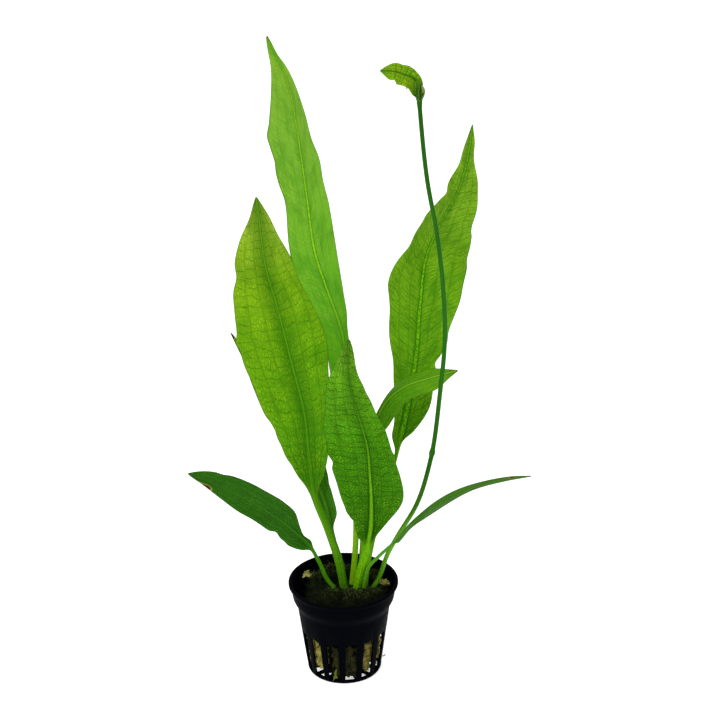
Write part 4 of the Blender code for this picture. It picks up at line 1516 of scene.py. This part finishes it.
@dataclass
class MossMat(Piece):
    """Short curled strands of moss and algae that cover the wool's top and hang over its edge.

    wall is the pot's inner radius at the top, in mm, which no strand passes.
    """

    block: WoolBlock
    name: str
    count: int
    kind: Strand
    finish: StrandFinish
    seed: int
    slot: Slot = Slot.WOOL
    joints: int = 5
    spread: float = 0.96
    droop: float = 0.35
    wall: float = 23.6
    sides: int = 3

    def roots(self, rng: np.random.Generator) -> Array:
        """Where the strands start, in mm.

        Args:
            rng: the source of the random places.

        Returns:
            One point a strand.
        """
        side = rng.uniform(-1.0, 1.0, (self.count * 3, 2))
        inside = np.abs(side[:, 0]) ** 3.0 + np.abs(side[:, 1]) ** 3.0 < 1.0
        flat = side[inside][: self.count] * self.block.top_half * self.spread
        far = np.hypot(flat[:, 0] + self.block.shift, flat[:, 1])
        flat *= np.minimum(1.0, (self.block.reach - 0.4) / np.maximum(far, 1.0))[:, None]
        x = flat[:, 0] + self.block.shift
        return np.stack([x, flat[:, 1], self.block.top(x, flat[:, 1]) - 0.5], 1)

    def build(self) -> bpy.types.Mesh:
        """Grows the strands.

        Returns:
            The mesh, with each strand's tone.
        """
        rng = np.random.default_rng(self.seed)
        roots = self.roots(rng)
        count = len(roots)
        turn = rng.uniform(0.0, 2.0 * math.pi, count)
        rise = np.clip(rng.normal(self.kind.rise, 0.35, count), -0.2, 1.5)
        way = unit(np.stack([np.cos(turn), np.sin(turn), rise], 1))
        length = rng.uniform(self.kind.short, self.kind.long, count)
        bend = rng.normal(0.0, self.kind.curl, (count, 3))
        bend[:, 2] -= self.droop
        steps = np.linspace(0.0, 1.0, self.joints)
        spine = roots[:, None, :] + length[:, None, None] * (
            way[:, None, :] * steps[None, :, None] + bend[:, None, :] * (steps**2)[None, :, None] * 0.5
        )
        out = np.hypot(spine[..., 0], spine[..., 1])
        spine[..., :2] *= np.minimum(1.0, self.wall / np.maximum(out, 1.0))[..., None]
        side = unit(np.cross(way, rng.normal(0.0, 1.0, (count, 3))))
        lift = np.cross(way, side)
        thick = self.kind.radius * rng.uniform(0.6, 1.4, count)[:, None] * (1.0 - 0.75 * steps)[None, :]
        rings = []
        for angle in np.arange(self.sides) * math.tau / self.sides:
            offset = side * math.cos(angle) + lift * math.sin(angle)
            rings.append(spine + offset[:, None, :] * thick[..., None])
        points = np.stack(rings, 2)
        index = np.arange(count * self.joints * self.sides).reshape(count, self.joints, self.sides)
        one = np.array(ring_quads(self.joints, self.sides))
        faces = (index[:, 0, 0, None, None] + one).reshape(-1, 4).tolist()
        faces += index[:, 0, ::-1].tolist() + index[:, -1].tolist()
        # Each strand has a random tone, with painted light on top: strands on the rises are paler and those
        # in the pits darker.
        tone_with_painted_light = np.clip(0.6 * rng.uniform(0.0, 1.0, count) + 0.3 * (roots[:, 2] - self.block.level), 0.0, 1.0)
        tone = np.repeat(tone_with_painted_light, self.joints * self.sides)
        return mesh_of(self.name, points.reshape(-1, 3) * MM, faces, {"tone": tone})


@dataclass
class FeltScrap(Piece):
    """One torn scrap of felt behind the slots, crumpled, with ragged edges and small holes.

    turn is how far round it has slid, and top where it ends if that is over its CAD node's top.
    """

    number: int
    finish: PaperyWool
    slot: Slot = Slot.DRY_WOOL
    around: int = 46
    up: int = 40
    radius: float = 17.3
    half_angle: float = 0.29
    thick: float = 0.28
    turn: float = 0.0
    top: float = 0.0
    lowest: float = 1.8

    @property
    def name(self) -> str:
        """The piece's name."""
        return f"felt_scrap_{self.number}"

    @property
    def nodes(self) -> tuple[str, ...]:
        """The CAD node that it stands for."""
        return (f"wool_scrap_{self.number}",)

    def build(self) -> bpy.types.Mesh:
        """Tears and crumples the scrap in the space of its CAD node.

        Returns:
            The mesh, in metres.
        """
        low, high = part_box(self.nodes[0])
        middle = math.atan2((low.y + high.y) / 2.0, (low.x + high.x) / 2.0) + self.turn
        bottom, top = low.z / MM, max(high.z / MM, self.top)
        seed = self.number * 1.37
        a, b = np.meshgrid(np.linspace(-1.0, 1.0, self.around), np.linspace(-1.0, 1.0, self.up))
        folds = np.abs(ripple(a * 1.3, b * 1.6, seed)) + 0.5 * np.abs(ripple(a * 3.1, b * 3.4, seed + 2.0))
        radius = self.radius + 1.1 * (folds - 0.6) + 0.035 * (b + 1.0) * (top - bottom)
        angle = middle + self.half_angle * a + 0.02 * ripple(a * 2.0, b * 2.0, seed + 4.0)
        level = bottom + (top - bottom) * (b + 1.0) / 2.0 + 0.5 * ripple(a * 2.0, b * 2.4, seed + 5.0)
        level = np.clip(level, self.lowest, top)
        points = np.stack([radius * np.cos(angle), radius * np.sin(angle), level], -1)
        edge = np.minimum(1.0 - np.abs(a), 1.0 - np.abs(b)) + 0.16 * ripple(a * 3.5, b * 3.5, seed + 6.0)
        hole = ripple(a * 4.2, b * 4.6, seed + 8.0)
        kept = (edge > 0.07) & (hole < 0.93)
        index = np.arange(a.size).reshape(a.shape)
        whole = kept[:-1, :-1] & kept[1:, :-1] & kept[:-1, 1:] & kept[1:, 1:]
        quads = np.stack([index[:-1, :-1], index[:-1, 1:], index[1:, 1:], index[1:, :-1]], -1)[whole]
        used, quads = np.unique(quads, return_inverse=True)
        mesh = mesh_of("felt", points.reshape(-1, 3)[used] * MM, quads.reshape(-1, 4).tolist())
        return thickened(mesh, self.thick * MM)


def thickened(mesh: bpy.types.Mesh, thick: float) -> bpy.types.Mesh:
    """Gives an open sheet a real thickness.

    Args:
        mesh: the sheet.
        thick: its thickness, in metres.

    Returns:
        The closed mesh.
    """
    sheet = linked("sheet", mesh)
    solid = sheet.modifiers.new("thickness", "SOLIDIFY")
    solid.thickness, solid.offset = thick, 0.0
    ready = bpy.data.meshes.new_from_object(sheet.evaluated_get(bpy.context.evaluated_depsgraph_get()))
    bpy.data.objects.remove(sheet, do_unlink=True)
    ready.shade_smooth()
    return ready


@dataclass(frozen=True)
class Shred:
    """A torn ribbon of felt: the points it runs through and its half width, in mm."""

    route: tuple
    wide: float


@dataclass
class LooseShreds(Piece):
    """Small torn pieces that lie on the moss or stick out of the pot."""

    name: str
    shreds: tuple
    finish: PaperyWool
    slot: Slot = Slot.DRY_WOOL
    rows: int = 18
    thick: float = 0.25
    facing: tuple = (0.2, -0.6, 0.8)

    def build(self) -> bpy.types.Mesh:
        """Makes each ribbon with ragged sides and a twist.

        Returns:
            The mesh, in metres.
        """
        points, faces, start = [], [], 0
        for number, shred in enumerate(self.shreds):
            places, directions, length = even_route(shred.route, self.rows)
            share = np.linspace(0.0, 1.0, self.rows)
            side = unit(np.cross(directions, self.facing))
            lift = np.cross(directions, side)
            ragged = 1.0 + 0.45 * ripple(share * length * 0.9, share, number * 1.9)
            wide = shred.wide * ragged * np.clip(np.minimum(share * 5.0, (1.0 - share) * 3.0), 0.12, 1.0)
            curl = 0.5 * shred.wide * ripple(share * 2.5, share, number + 3.0)
            for k in (-1.0, -0.4, 0.3, 1.0):
                cup = (abs(k) ** 2) * curl
                points.append(places + side * (wide * k)[:, None] + lift * cup[:, None])
            index = start + np.arange(4 * self.rows).reshape(4, self.rows)
            for k in range(3):
                quad = np.stack([index[k, :-1], index[k + 1, :-1], index[k + 1, 1:], index[k, 1:]], -1)
                faces += quad.tolist()
            start += 4 * self.rows
        mesh = mesh_of("shreds", np.concatenate(points) * MM, faces)
        return thickened(mesh, self.thick * MM)


@dataclass
class FeltLump(Piece):
    """A crumpled lump of felt: its middle and its half sizes, in mm."""

    name: str
    centre: tuple
    size: tuple
    seed: float
    finish: PaperyWool
    slot: Slot = Slot.DRY_WOOL

    def build(self) -> bpy.types.Mesh:
        """Crumples a ball into a lump with folds and points.

        Returns:
            The mesh, in metres.
        """
        shape = bmesh.new()
        bmesh.ops.create_icosphere(shape, subdivisions=5, radius=1.0)
        for corner in shape.verts:
            at = corner.co * 1.6 + Vector((self.seed, 0.0, 0.0))
            fold = abs(noise.noise(at)) + 0.6 * abs(noise.noise(at * 2.3)) + 0.35 * abs(noise.noise(at * 5.0))
            reach = 0.62 + 0.85 * fold
            corner.co = Vector((c + s * p * reach for c, s, p in zip(self.centre, self.size, corner.co))) * MM
        return mesh_from(shape, self.name)


@dataclass
class Rhizome(Piece):
    """The crown: a low lumpy bulb wrapped in old leaf bases, sunk in the moss.

    Its skin is waxy, yellow-green and brown.
    """

    name: str = "rhizome"
    nodes: tuple = ("crown",)
    slot: Slot = Slot.CROWN
    finish: Finish = StrandFinish("rhizome_skin_waxy", "2c3a10", "6f8f22", "7a6a34", 0.5)
    lift: float = 0.6 * MM
    scales: int = 9

    def build(self) -> bpy.types.Mesh:
        """Swells a ball into the CAD crown's space, with a ridge for each old leaf base.

        Returns:
            The mesh, in metres.
        """
        low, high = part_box("crown")
        centre, half = (low + high) / 2.0, (high - low) / 2.0
        shape = bmesh.new()
        bmesh.ops.create_icosphere(shape, subdivisions=5, radius=1.0)
        for corner in shape.verts:
            angle = math.atan2(corner.co.y, corner.co.x)
            ridge = 0.06 * math.cos(angle * self.scales + 3.0 * corner.co.z)
            rough = 0.05 * noise.noise(corner.co * 6.0) + ridge * (1.0 - corner.co.z**2)
            size = Vector((a * b for a, b in zip(corner.co, half)))
            corner.co = centre + size * (0.93 + rough) + Vector((0.0, 0.0, self.lift))
        return mesh_from(shape, self.name)


@dataclass(frozen=True)
class StalkSkin(Finish):
    """Living stalk: smooth, deep green, paler at its foot, with a bluish sheen painted into its colour where
    it bends.
    """

    foot: str = "5c9c18"
    middle: str = "1a5604"
    painted_sheen: str = "1f5c10"
    top: str = "184c04"
    strand: str = "3a7a0c"
    name: str = "flower_stalk_living"

    def surface(self, tree: Tree) -> Node:
        """Adds the stalk's greens and its lengthwise strands.

        Args:
            tree: the material's node tree.

        Returns:
            The shader node.
        """
        blade = add(tree, "Attribute", attribute_name="blade").outputs["Vector"]
        place = add(tree, "Attribute", attribute_name="place").outputs["Vector"]
        share = add(tree, "SeparateXYZ", {0: blade}).outputs[1]
        tint = add(tree, "ValToRGB", {0: share})
        # The stop at 0.6, where the stalk bends, is a painted sheen.
        stops = ((0.0, self.foot), (0.12, self.foot), (0.3, self.middle), (0.6, self.painted_sheen), (1.0, self.top))
        set_ramp(tint, stops)
        # Strands run the length of the stalk, about half a millimetre apart.
        drawn = add(tree, "VectorMath", {0: place, 1: (1.0, 0.03, 1.0)}, operation="MULTIPLY")
        strands = add(tree, "TexNoise", {"Vector": drawn, "Scale": 2.0, "Detail": 2.0})
        streak = add(tree, "MapRange", {"Value": strands, "From Min": 0.4, "From Max": 0.7, "To Max": 0.3})
        colour = coats(tree, tint, (streak, self.strand))
        bump = add(tree, "Bump", {"Height": strands, "Strength": 0.5, "Distance": 0.1 * MM})
        return add(
            tree, "BsdfPrincipled",
            {
                "Base Color": colour, "Roughness": 0.36, "IOR": 1.42,
                "Specular IOR Level": 0.04, "Normal": bump,
            },
        )


@dataclass
class FlowerStalk(Piece):
    """The long thin stalk that carries the plantlet, with one swollen joint, or the neck at its end."""

    name: str = "flower_stalk_living"
    nodes: tuple = ("flower_stalk",)
    slot: Slot = Slot.STALK
    finish: Finish = StalkSkin()
    route: tuple = STALK_ROUTE
    foot: float = 1.15
    tip: float = 1.0
    sides: int = 20
    joint_share: float = 0.335
    joint_swell: float = 0.35

    def build(self) -> bpy.types.Mesh:
        """Sweeps a bluntly three-sided section along the route.

        Returns:
            The mesh, with the fields that its finish reads.
        """
        length = even_route(self.route, 3)[2]
        rows = max(int(length / 0.8), 8)
        places, directions, _ = even_route(self.route, rows)
        share = np.linspace(0.0, 1.0, rows)
        side = unit(np.cross(directions, FRONT))
        lift = np.cross(side, directions)
        girth = self.foot + (self.tip - self.foot) * share
        girth *= 1.0 + self.joint_swell * hump(share, self.joint_share, 0.006)
        girth *= 1.0 + 0.25 * smooth(share, 0.985, 1.0)
        girth *= 1.0 + 0.15 * (1.0 - smooth(share, 0.0, 0.03))
        angle = np.linspace(0.0, 2.0 * math.pi, self.sides, endpoint=False)
        blunt = 1.0 + 0.05 * np.cos(3.0 * angle[None, :] + 2.0 * share[:, None])
        reach = girth[:, None] * blunt
        rings = around(places, (side, reach * np.cos(angle)), (lift, reach * np.sin(angle)))
        faces = [quad[::-1] for quad in ring_quads(rows, self.sides)]
        faces += [list(range(self.sides)), list(range((rows - 1) * self.sides, rows * self.sides))[::-1]]
        none, each = np.zeros_like(reach), share[:, None] * np.ones_like(angle)
        where = np.stack([angle * girth[:, None], each * length, none], -1)
        along = np.stack([none, each, none], -1)
        fields = {"place": where.reshape(-1, 3), "blade": along.reshape(-1, 3)}
        mesh = mesh_of(self.name, rings.reshape(-1, 3) * MM, faces, fields)
        for node in self.nodes:
            settle(mesh, node, mesh)
        return mesh


@dataclass(frozen=True)
class OpalAcrylic(Finish):
    """Opal acrylic over a lamp: matt, nearly white, and glowing a little, so that no hard shadow shows."""

    colour: str = "e6e6e4"
    glow: float = 0.6
    name: str = "opal_acrylic_light_table"

    def surface(self, tree: Tree) -> Node:
        """Adds the matt, glowing sheet.

        Args:
            tree: the material's node tree.

        Returns:
            The shader node.
        """
        return add(
            tree, "BsdfPrincipled",
            {
                "Base Color": linear(self.colour), "Roughness": 0.6, "Specular IOR Level": 0.1,
                "Emission Color": linear("ffffff"), "Emission Strength": self.glow,
            },
        )


@dataclass
class Studio:
    """A light table as the floor, three soft lights and the camera."""

    height: float = 0.50331
    distance: float = 0.769
    pitch: float = 23.473
    yaw: float = 0.727
    roll: float = -0.7325
    lens: float = 88.44
    floor_size: float = 9.0
    floor_gap: float = 0.05 * MM
    world: float = 0.42
    aim: tuple = (0.0, 0.0, 0.14)

    def floor(self) -> None:
        """Lays the light table just under the plant."""
        half = self.floor_size / 2.0
        corners = np.array([(-half, -half, 0.0), (half, -half, 0.0), (half, half, 0.0), (-half, half, 0.0)])
        mesh = mesh_of("floor", corners - np.array([0.0, 0.0, self.floor_gap]), [[0, 1, 2, 3]])
        mesh.materials.append(OpalAcrylic().material())
        linked("floor", mesh)

    def light(self, name: str, place: tuple, size: float, power: float) -> None:
        """Adds one square soft light that faces the plant.

        Args:
            name: the light's name.
            place: where it hangs, in metres.
            size: the length of its side, in metres.
            power: its power, in watts.
        """
        lamp = bpy.data.lights.new(name, "AREA")
        lamp.size, lamp.energy = size, power
        item = linked(name, lamp)
        item.location = place
        item.rotation_euler = (Vector(self.aim) - Vector(place)).to_track_quat("-Z", "Y").to_euler()

    def camera(self) -> None:
        """Stands the camera at the height and distance that give the view from the front."""
        pitch, yaw, roll = (math.radians(a) for a in (self.pitch, self.yaw, self.roll))
        ahead = Vector((math.sin(yaw) * math.cos(pitch), math.cos(yaw) * math.cos(pitch), -math.sin(pitch)))
        level = Vector((math.cos(yaw), -math.sin(yaw), 0.0))
        upright = level.cross(ahead)
        right = level * math.cos(roll) + upright * math.sin(roll)
        up = upright * math.cos(roll) - level * math.sin(roll)
        data = bpy.data.cameras.new("camera")
        data.lens = self.lens
        data.clip_start, data.clip_end = 0.05, 20.0
        camera = linked("camera", data)
        turn = Matrix((right, up, -ahead)).transposed().to_4x4()
        camera.matrix_world = Matrix.Translation((0.0, -self.distance, self.height)) @ turn
        bpy.context.scene.camera = camera

    def build(self) -> None:
        """Sets the floor, the lights, the surroundings and the camera."""
        self.floor()
        self.light("key", (-0.9, -1.2, 1.5), 1.0, 26.0)
        self.light("fill", (1.2, -1.0, 1.0), 1.4, 9.0)
        self.light("back", (0.2, 1.3, 1.4), 1.2, 9.0)
        world = bpy.data.worlds.new("studio")
        world.use_nodes = True
        world.node_tree.nodes.clear()
        sky = add(world.node_tree, "Background", {"Color": linear("ffffff"), "Strength": self.world})
        add(world.node_tree, "OutputWorld", {"Surface": sky})
        bpy.context.scene.world = world
        bpy.context.scene.view_settings.view_transform = "Standard"
        self.camera()


YOUNG = LeafSkin(
    name="leaf_young_smooth",
    tones=((0.28, "469408"), (0.42, "54a008"), (0.60, "6aae22"), (0.85, "80b434"), (1.0, "80b02a")),
    cell="98c03c", vein="327c0e", rib="94ca0a", edge="5f9e10", foot="78b012", neck="6cac12",
    rung_mm=6.2, rung_show=0.30, net_mm=1.0, net_show=0.14, cell_show=0.45, lane_show=0.32, rib_mm=1.0,
    rib_show=1.0, bead=0.6, rough=0.44, relief_mm=0.12, hatch_mm=2.1, hatch_show=0.24, rib_shade_show=0.25,
    grain=(1.0, 0.35), mottle_show=0.5, rib_highlight_peak=0.74, rib_highlight_spread=0.34,
)
BACK = LeafSkin(
    name="leaf_young_blistered",
    tones=((0.28, "569c0a"), (0.45, "6cac12"), (0.75, "7ab018"), (1.0, "90ba2e")),
    cell="82b80e", vein="286f02", rib="74c004", edge="72ac18", foot="64a412", neck="60a010",
    rung_mm=4.2, rung_show=0.7, net_mm=1.1, net_show=0.14, cell_show=0.4, lane_show=0.45, rib_mm=1.2,
    rib_show=1.0, bead=0.95, rough=0.40, relief_mm=0.2, hatch_mm=1.9, hatch_show=0.45, rib_shade_show=0.4,
    grain=(1.0, 0.5), mottle_show=0.5, rib_highlight_peak=0.52, rib_highlight_spread=0.62,
)
OLD = LeafSkin(
    name="leaf_old_netted",
    tones=((0.25, "468a08"), (0.42, "60a60e"), (0.60, "6cac0c"), (0.80, "88b816"), (1.0, "b0c840")),
    cell="9cc814", vein="246802", rib="68a814", edge="78a818", foot="4f9008", neck="4a8804",
    rung_mm=4.6, rung_show=0.72, net_mm=1.2, net_show=0.28, cell_show=0.75, lane_show=0.42, rib_mm=0.8,
    rib_show=0.6, rough=0.43, relief_mm=0.16, hatch_mm=1.7, hatch_show=0.25, rib_shade_show=0.7, rib_shade_mm=7.0,
    grain=(1.0, 0.4), mottle_show=0.35, rib_highlight_peak=0.8, rib_highlight_spread=0.7,
)
DARK = LeafSkin(
    name="leaf_dark_puckered",
    tones=((0.2, "387a02"), (0.42, "468e06"), (0.65, "56a60c"), (0.85, "78c41e"), (1.0, "94cc38")),
    cell="70b412", vein="164c00", rib="72b410", edge="4a940c", foot="7cc60c", neck="6cb808",
    rung_mm=3.5, rung_show=0.9, net_mm=1.15, net_show=0.5, cell_show=0.75, lane_show=0.5, rib_mm=1.0,
    rib_show=0.85, rough=0.36, relief_mm=0.24, hatch_mm=1.4, hatch_show=0.25, rib_shade_show=0.5, rib_shade_mm=4.5,
    grain=(0.8, 1.0), mottle_show=0.4, rib_highlight_peak=0.25, rib_highlight_spread=0.6,
)
ARCH = LeafSkin(
    name="leaf_dark_folded",
    tones=((0.2, "4a8c06"), (0.5, "60a814"), (0.75, "64ac14"), (1.0, "74ac10")),
    cell="76b414", vein="246a04", rib="86bc14", edge="8abc20", foot="68a418", neck="549a0a",
    rung_mm=3.4, rung_show=0.35, net_mm=1.0, net_show=0.3, cell_show=0.45, lane_show=0.5, rib_mm=1.0,
    rib_show=0.9, rough=0.34, relief_mm=0.12, hatch_show=0.25, gloss=0.1,
)
GLOSSY = LeafSkin(
    name="leaf_dark_glossy",
    tones=((0.2, "307404"), (0.5, "307006"), (0.8, "327208"), (1.0, "32720c")),
    cell="44880c", vein="134802", rib="44880c", edge="38780c", foot="54a00a", neck="468c08",
    rung_mm=3.4, rung_show=0.5, net_mm=1.1, net_show=0.35, cell_show=0.6, lane_show=0.55, rib_mm=0.7,
    rib_show=0.45, rough=0.30, relief_mm=0.14, gloss=0.12, mottle_show=0.4,
)
EDGEWISE = LeafSkin(
    name="leaf_dark_dull",
    tones=((0.2, "429018"), (0.5, "4a8a1c"), (1.0, "508418")),
    cell="56902c", vein="265a10", rib="64982c", edge="5f903a", foot="5c9c10", neck="4a9420",
    rung_mm=3.4, rung_show=0.35, net_mm=1.1, net_show=0.25, cell_show=0.5, lane_show=0.5, rib_mm=0.8,
    rib_show=0.7, rough=0.38, relief_mm=0.08,
)
SHADED = LeafSkin(
    name="leaf_old_shaded",
    tones=((0.2, "468a18"), (0.6, "4e9818"), (0.9, "62a428"), (1.0, "84a43c")),
    cell="62a820", vein="2a680e", rib="62a420", edge="84a43a", foot="4c8a1c", neck="3f7c14",
    rung_mm=3.8, rung_show=0.55, net_mm=1.2, net_show=0.35, cell_show=0.5, lane_show=0.5, rib_mm=0.8,
    rib_show=0.6, rough=0.42, relief_mm=0.10,
)
SPROUT = LeafSkin(
    name="plantlet_leaf_tender",
    tones=((0.1, "4c8808"), (0.35, "74ac0a"), (0.7, "80b40e"), (1.0, "84b81a")),
    cell="a4c01c", vein="2c6204", rib="2c6204", edge="88b01c", foot="2c5c0a", neck="2c5c0a",
    rung_mm=1.7, rung_show=0.8, net_mm=0.7, net_show=0.4, cell_show=0.9, lane_show=0.7, rib_mm=0.45,
    rib_show=1.0, rough=0.42, relief_mm=0.08, rib_shade_show=0.3, rib_shade_mm=1.5,
)
PALE = LeafSkin(
    name="bract_dry_scale",
    tones=((0.0, "5c7c28"), (0.4, "7c9a4c"), (1.0, "b9c794")),
    cell="d0d8b0", vein="5c7434", rib="7f9a50", edge="c2cc9c", foot="5c7c28", neck="5c7c28",
    rung_mm=1.5, rung_show=0.1, net_mm=0.6, net_show=0.2, cell_show=0.5, lane_show=0.7, rib_mm=0.3,
    rib_show=0.4, rough=0.5, relief_mm=0.04,
)
# The plantlet's folded heart runs from near black at its foot to dark green at its tip: painted shade of the
# hollow between its leaves.
HEART_SHADE = LeafSkin(
    name="plantlet_heart_painted_shade",
    tones=((0.0, "183c06"), (0.5, "2c5c08"), (1.0, "5c9414")),
    cell="7ab024", vein="0e2c06", rib="6ea428", edge="ccd89c", foot="24500a", neck="24500a",
    rung_mm=1.5, rung_show=0.3, net_mm=0.6, net_show=0.3, cell_show=0.4, lane_show=0.5, rib_mm=0.3,
    rib_show=0.5, rough=0.45, relief_mm=0.04,
)

# The finish and the record's slot of each leaf.
DRESS = {
    "leaf_tall": (YOUNG, Slot.YOUNG),
    "leaf_left": (OLD, Slot.OLD),
    "leaf_front": (DARK, Slot.DARK),
    "leaf_right": (BACK, Slot.YOUNG),
    "leaf_arching": (ARCH, Slot.DARK),
    "leaf_low_left": (GLOSSY, Slot.DARK),
    "leaf_low_right": (EDGEWISE, Slot.DARK),
    "leaf_behind": (SHADED, Slot.OLD),
    "plantlet_leaf": (SPROUT, Slot.PLANTLET),
    "plantlet_bract": (PALE, Slot.BRACT),
    "plantlet_bud": (HEART_SHADE, Slot.PLANTLET),
    "plantlet_hood": (HEART_SHADE, Slot.PLANTLET),
    "plantlet_fold": (HEART_SHADE, Slot.PLANTLET),
}

DRY_FELT = PaperyWool(pale="9a9048", stained="665f24", dark_patch="24220c", dark_patch_from=0.54)
DUN_FELT = PaperyWool("dry_wool_felt_stained", "7c7436", "4c471a", "1a190a", 0.53)
DARK_FELT = PaperyWool("dry_wool_felt_algae", "2c2c0c", "141605", "070802", 0.50)
CREAM_FELT = PaperyWool("dry_wool_felt_bleached", "aca860", "84843c", "3a3c1c", 0.62)
GREEN_FELT = PaperyWool("dry_wool_felt_green", "626c22", "424e16", "20260c", 0.60)
MOSS = StrandFinish("moss_living_strands", "040702", "28390e", "4c5c26")
ALGAE = StrandFinish("algae_dark_threads", "030502", "141b08", "2c3416")


# What sets a scrap apart: its felt, how far round it has slid, how wide it is and where it ends.
SCRAPS = {
    1: {"finish": DARK_FELT, "turn": -0.12, "half_angle": 0.42, "top": 22.0},
    2: {"finish": DUN_FELT, "turn": -0.02, "half_angle": 0.42, "top": 23.6},
    3: {"finish": DRY_FELT, "half_angle": 0.40, "top": 26.5},
    4: {"finish": DRY_FELT, "half_angle": 0.40, "top": 24.5},
    5: {"finish": DARK_FELT},
    8: {"finish": DRY_FELT, "half_angle": 0.33, "top": 22.0},
    9: {"finish": DRY_FELT, "turn": -0.23, "half_angle": 0.32, "top": 23.2},
}


def medium() -> list[Piece]:
    """What stands in the pot: the wool, its moss, and the torn felt.

    Returns:
        The pieces, in the order to make them.
    """
    block = WoolBlock()
    star = (
        Shred(((-20.5, 12.0, 45.6), (-18.8, 12.4, 46.4), (-16.6, 12.0, 45.6), (-14.8, 11.2, 45.0)), 0.9),
        Shred(((-19.6, 13.2, 45.8), (-18.6, 12.4, 46.8), (-17.2, 12.6, 48.2)), 0.7),
        Shred(((-20.8, 10.6, 44.8), (-19.0, 11.6, 46.2), (-18.4, 13.4, 47.6)), 0.7),
        Shred(((-17.0, 10.2, 45.4), (-18.0, 11.6, 46.2), (-19.8, 13.0, 47.2)), 0.8),
    )
    hanging = (
        Shred(((-3.9, -17.2, 8.6), (-4.6, -18.6, 7.4), (-5.0, -19.2, 5.0), (-6.2, -19.5, 2.6)), 0.5),
        Shred(((-4.8, -18.8, 6.0), (-4.2, -19.5, 4.8), (-3.6, -19.7, 3.9)), 0.35),
    )
    fibre = (Shred(((17.8, -6.0, 8.6), (19.4, -6.2, 8.2), (20.9, -6.2, 9.2)), 0.3),)
    return [
        block,
        MossMat(block, "moss_felt", 5200, Strand(1.0, 2.8, 0.16, 0.7, 0.8), MOSS, 5),
        MossMat(block, "algae_threads", 2600, Strand(1.8, 4.4, 0.10, 0.3, 1.1), ALGAE, 9, joints=7),
        *(FeltScrap(number, **SCRAPS.get(number, {"finish": DRY_FELT})) for number in range(1, 10)),
        LooseShreds("felt_shred_star", star, CREAM_FELT),
        FeltLump("felt_lump_right", (20.6, 4.4, 44.6), (2.6, 1.7, 1.6), 3.0, CREAM_FELT),
        FeltLump("moss_lump_back", (15.0, 14.6, 44.4), (3.4, 2.6, 2.2), 8.0, DARK_FELT),
        FeltLump("moss_lump_side", (17.4, 9.6, 44.0), (2.4, 2.2, 1.8), 12.0, DARK_FELT),
        LooseShreds("felt_shred_hanging", hanging, GREEN_FELT),
        LooseShreds("felt_fibre_side", fibre, CREAM_FELT),
    ]


def plant() -> list[Piece]:
    """The crown, the leaves, the stalk and its plantlet.

    Returns:
        The pieces, in the order to make them.
    """
    leaves = [
        SwordLeaf(form, *DRESS[form.node], shell_mm=0.2 if form.node.startswith("plantlet") else 0.34)
        for form in LEAVES
    ]
    neck = FlowerStalk(
        name="plantlet_neck_living", nodes=(), finish=StalkSkin("1c5206"),
        route=((37.5, -6.1, 295.0), (37.4, -6.4, 297.0), (37.1, -6.9, 299.6)),
        foot=1.02, tip=1.9, joint_swell=0.0,
    )
    return [Rhizome(), *leaves, FlowerStalk(), neck]


def main() -> None:
    """Builds the studio and each piece in order."""
    logging.basicConfig(level=logging.INFO, format="%(name)s: %(message)s")
    Studio().build()
    for piece in (NetPot(), *medium(), *plant()):
        piece.make()


if __name__ == "__main__":
    main()
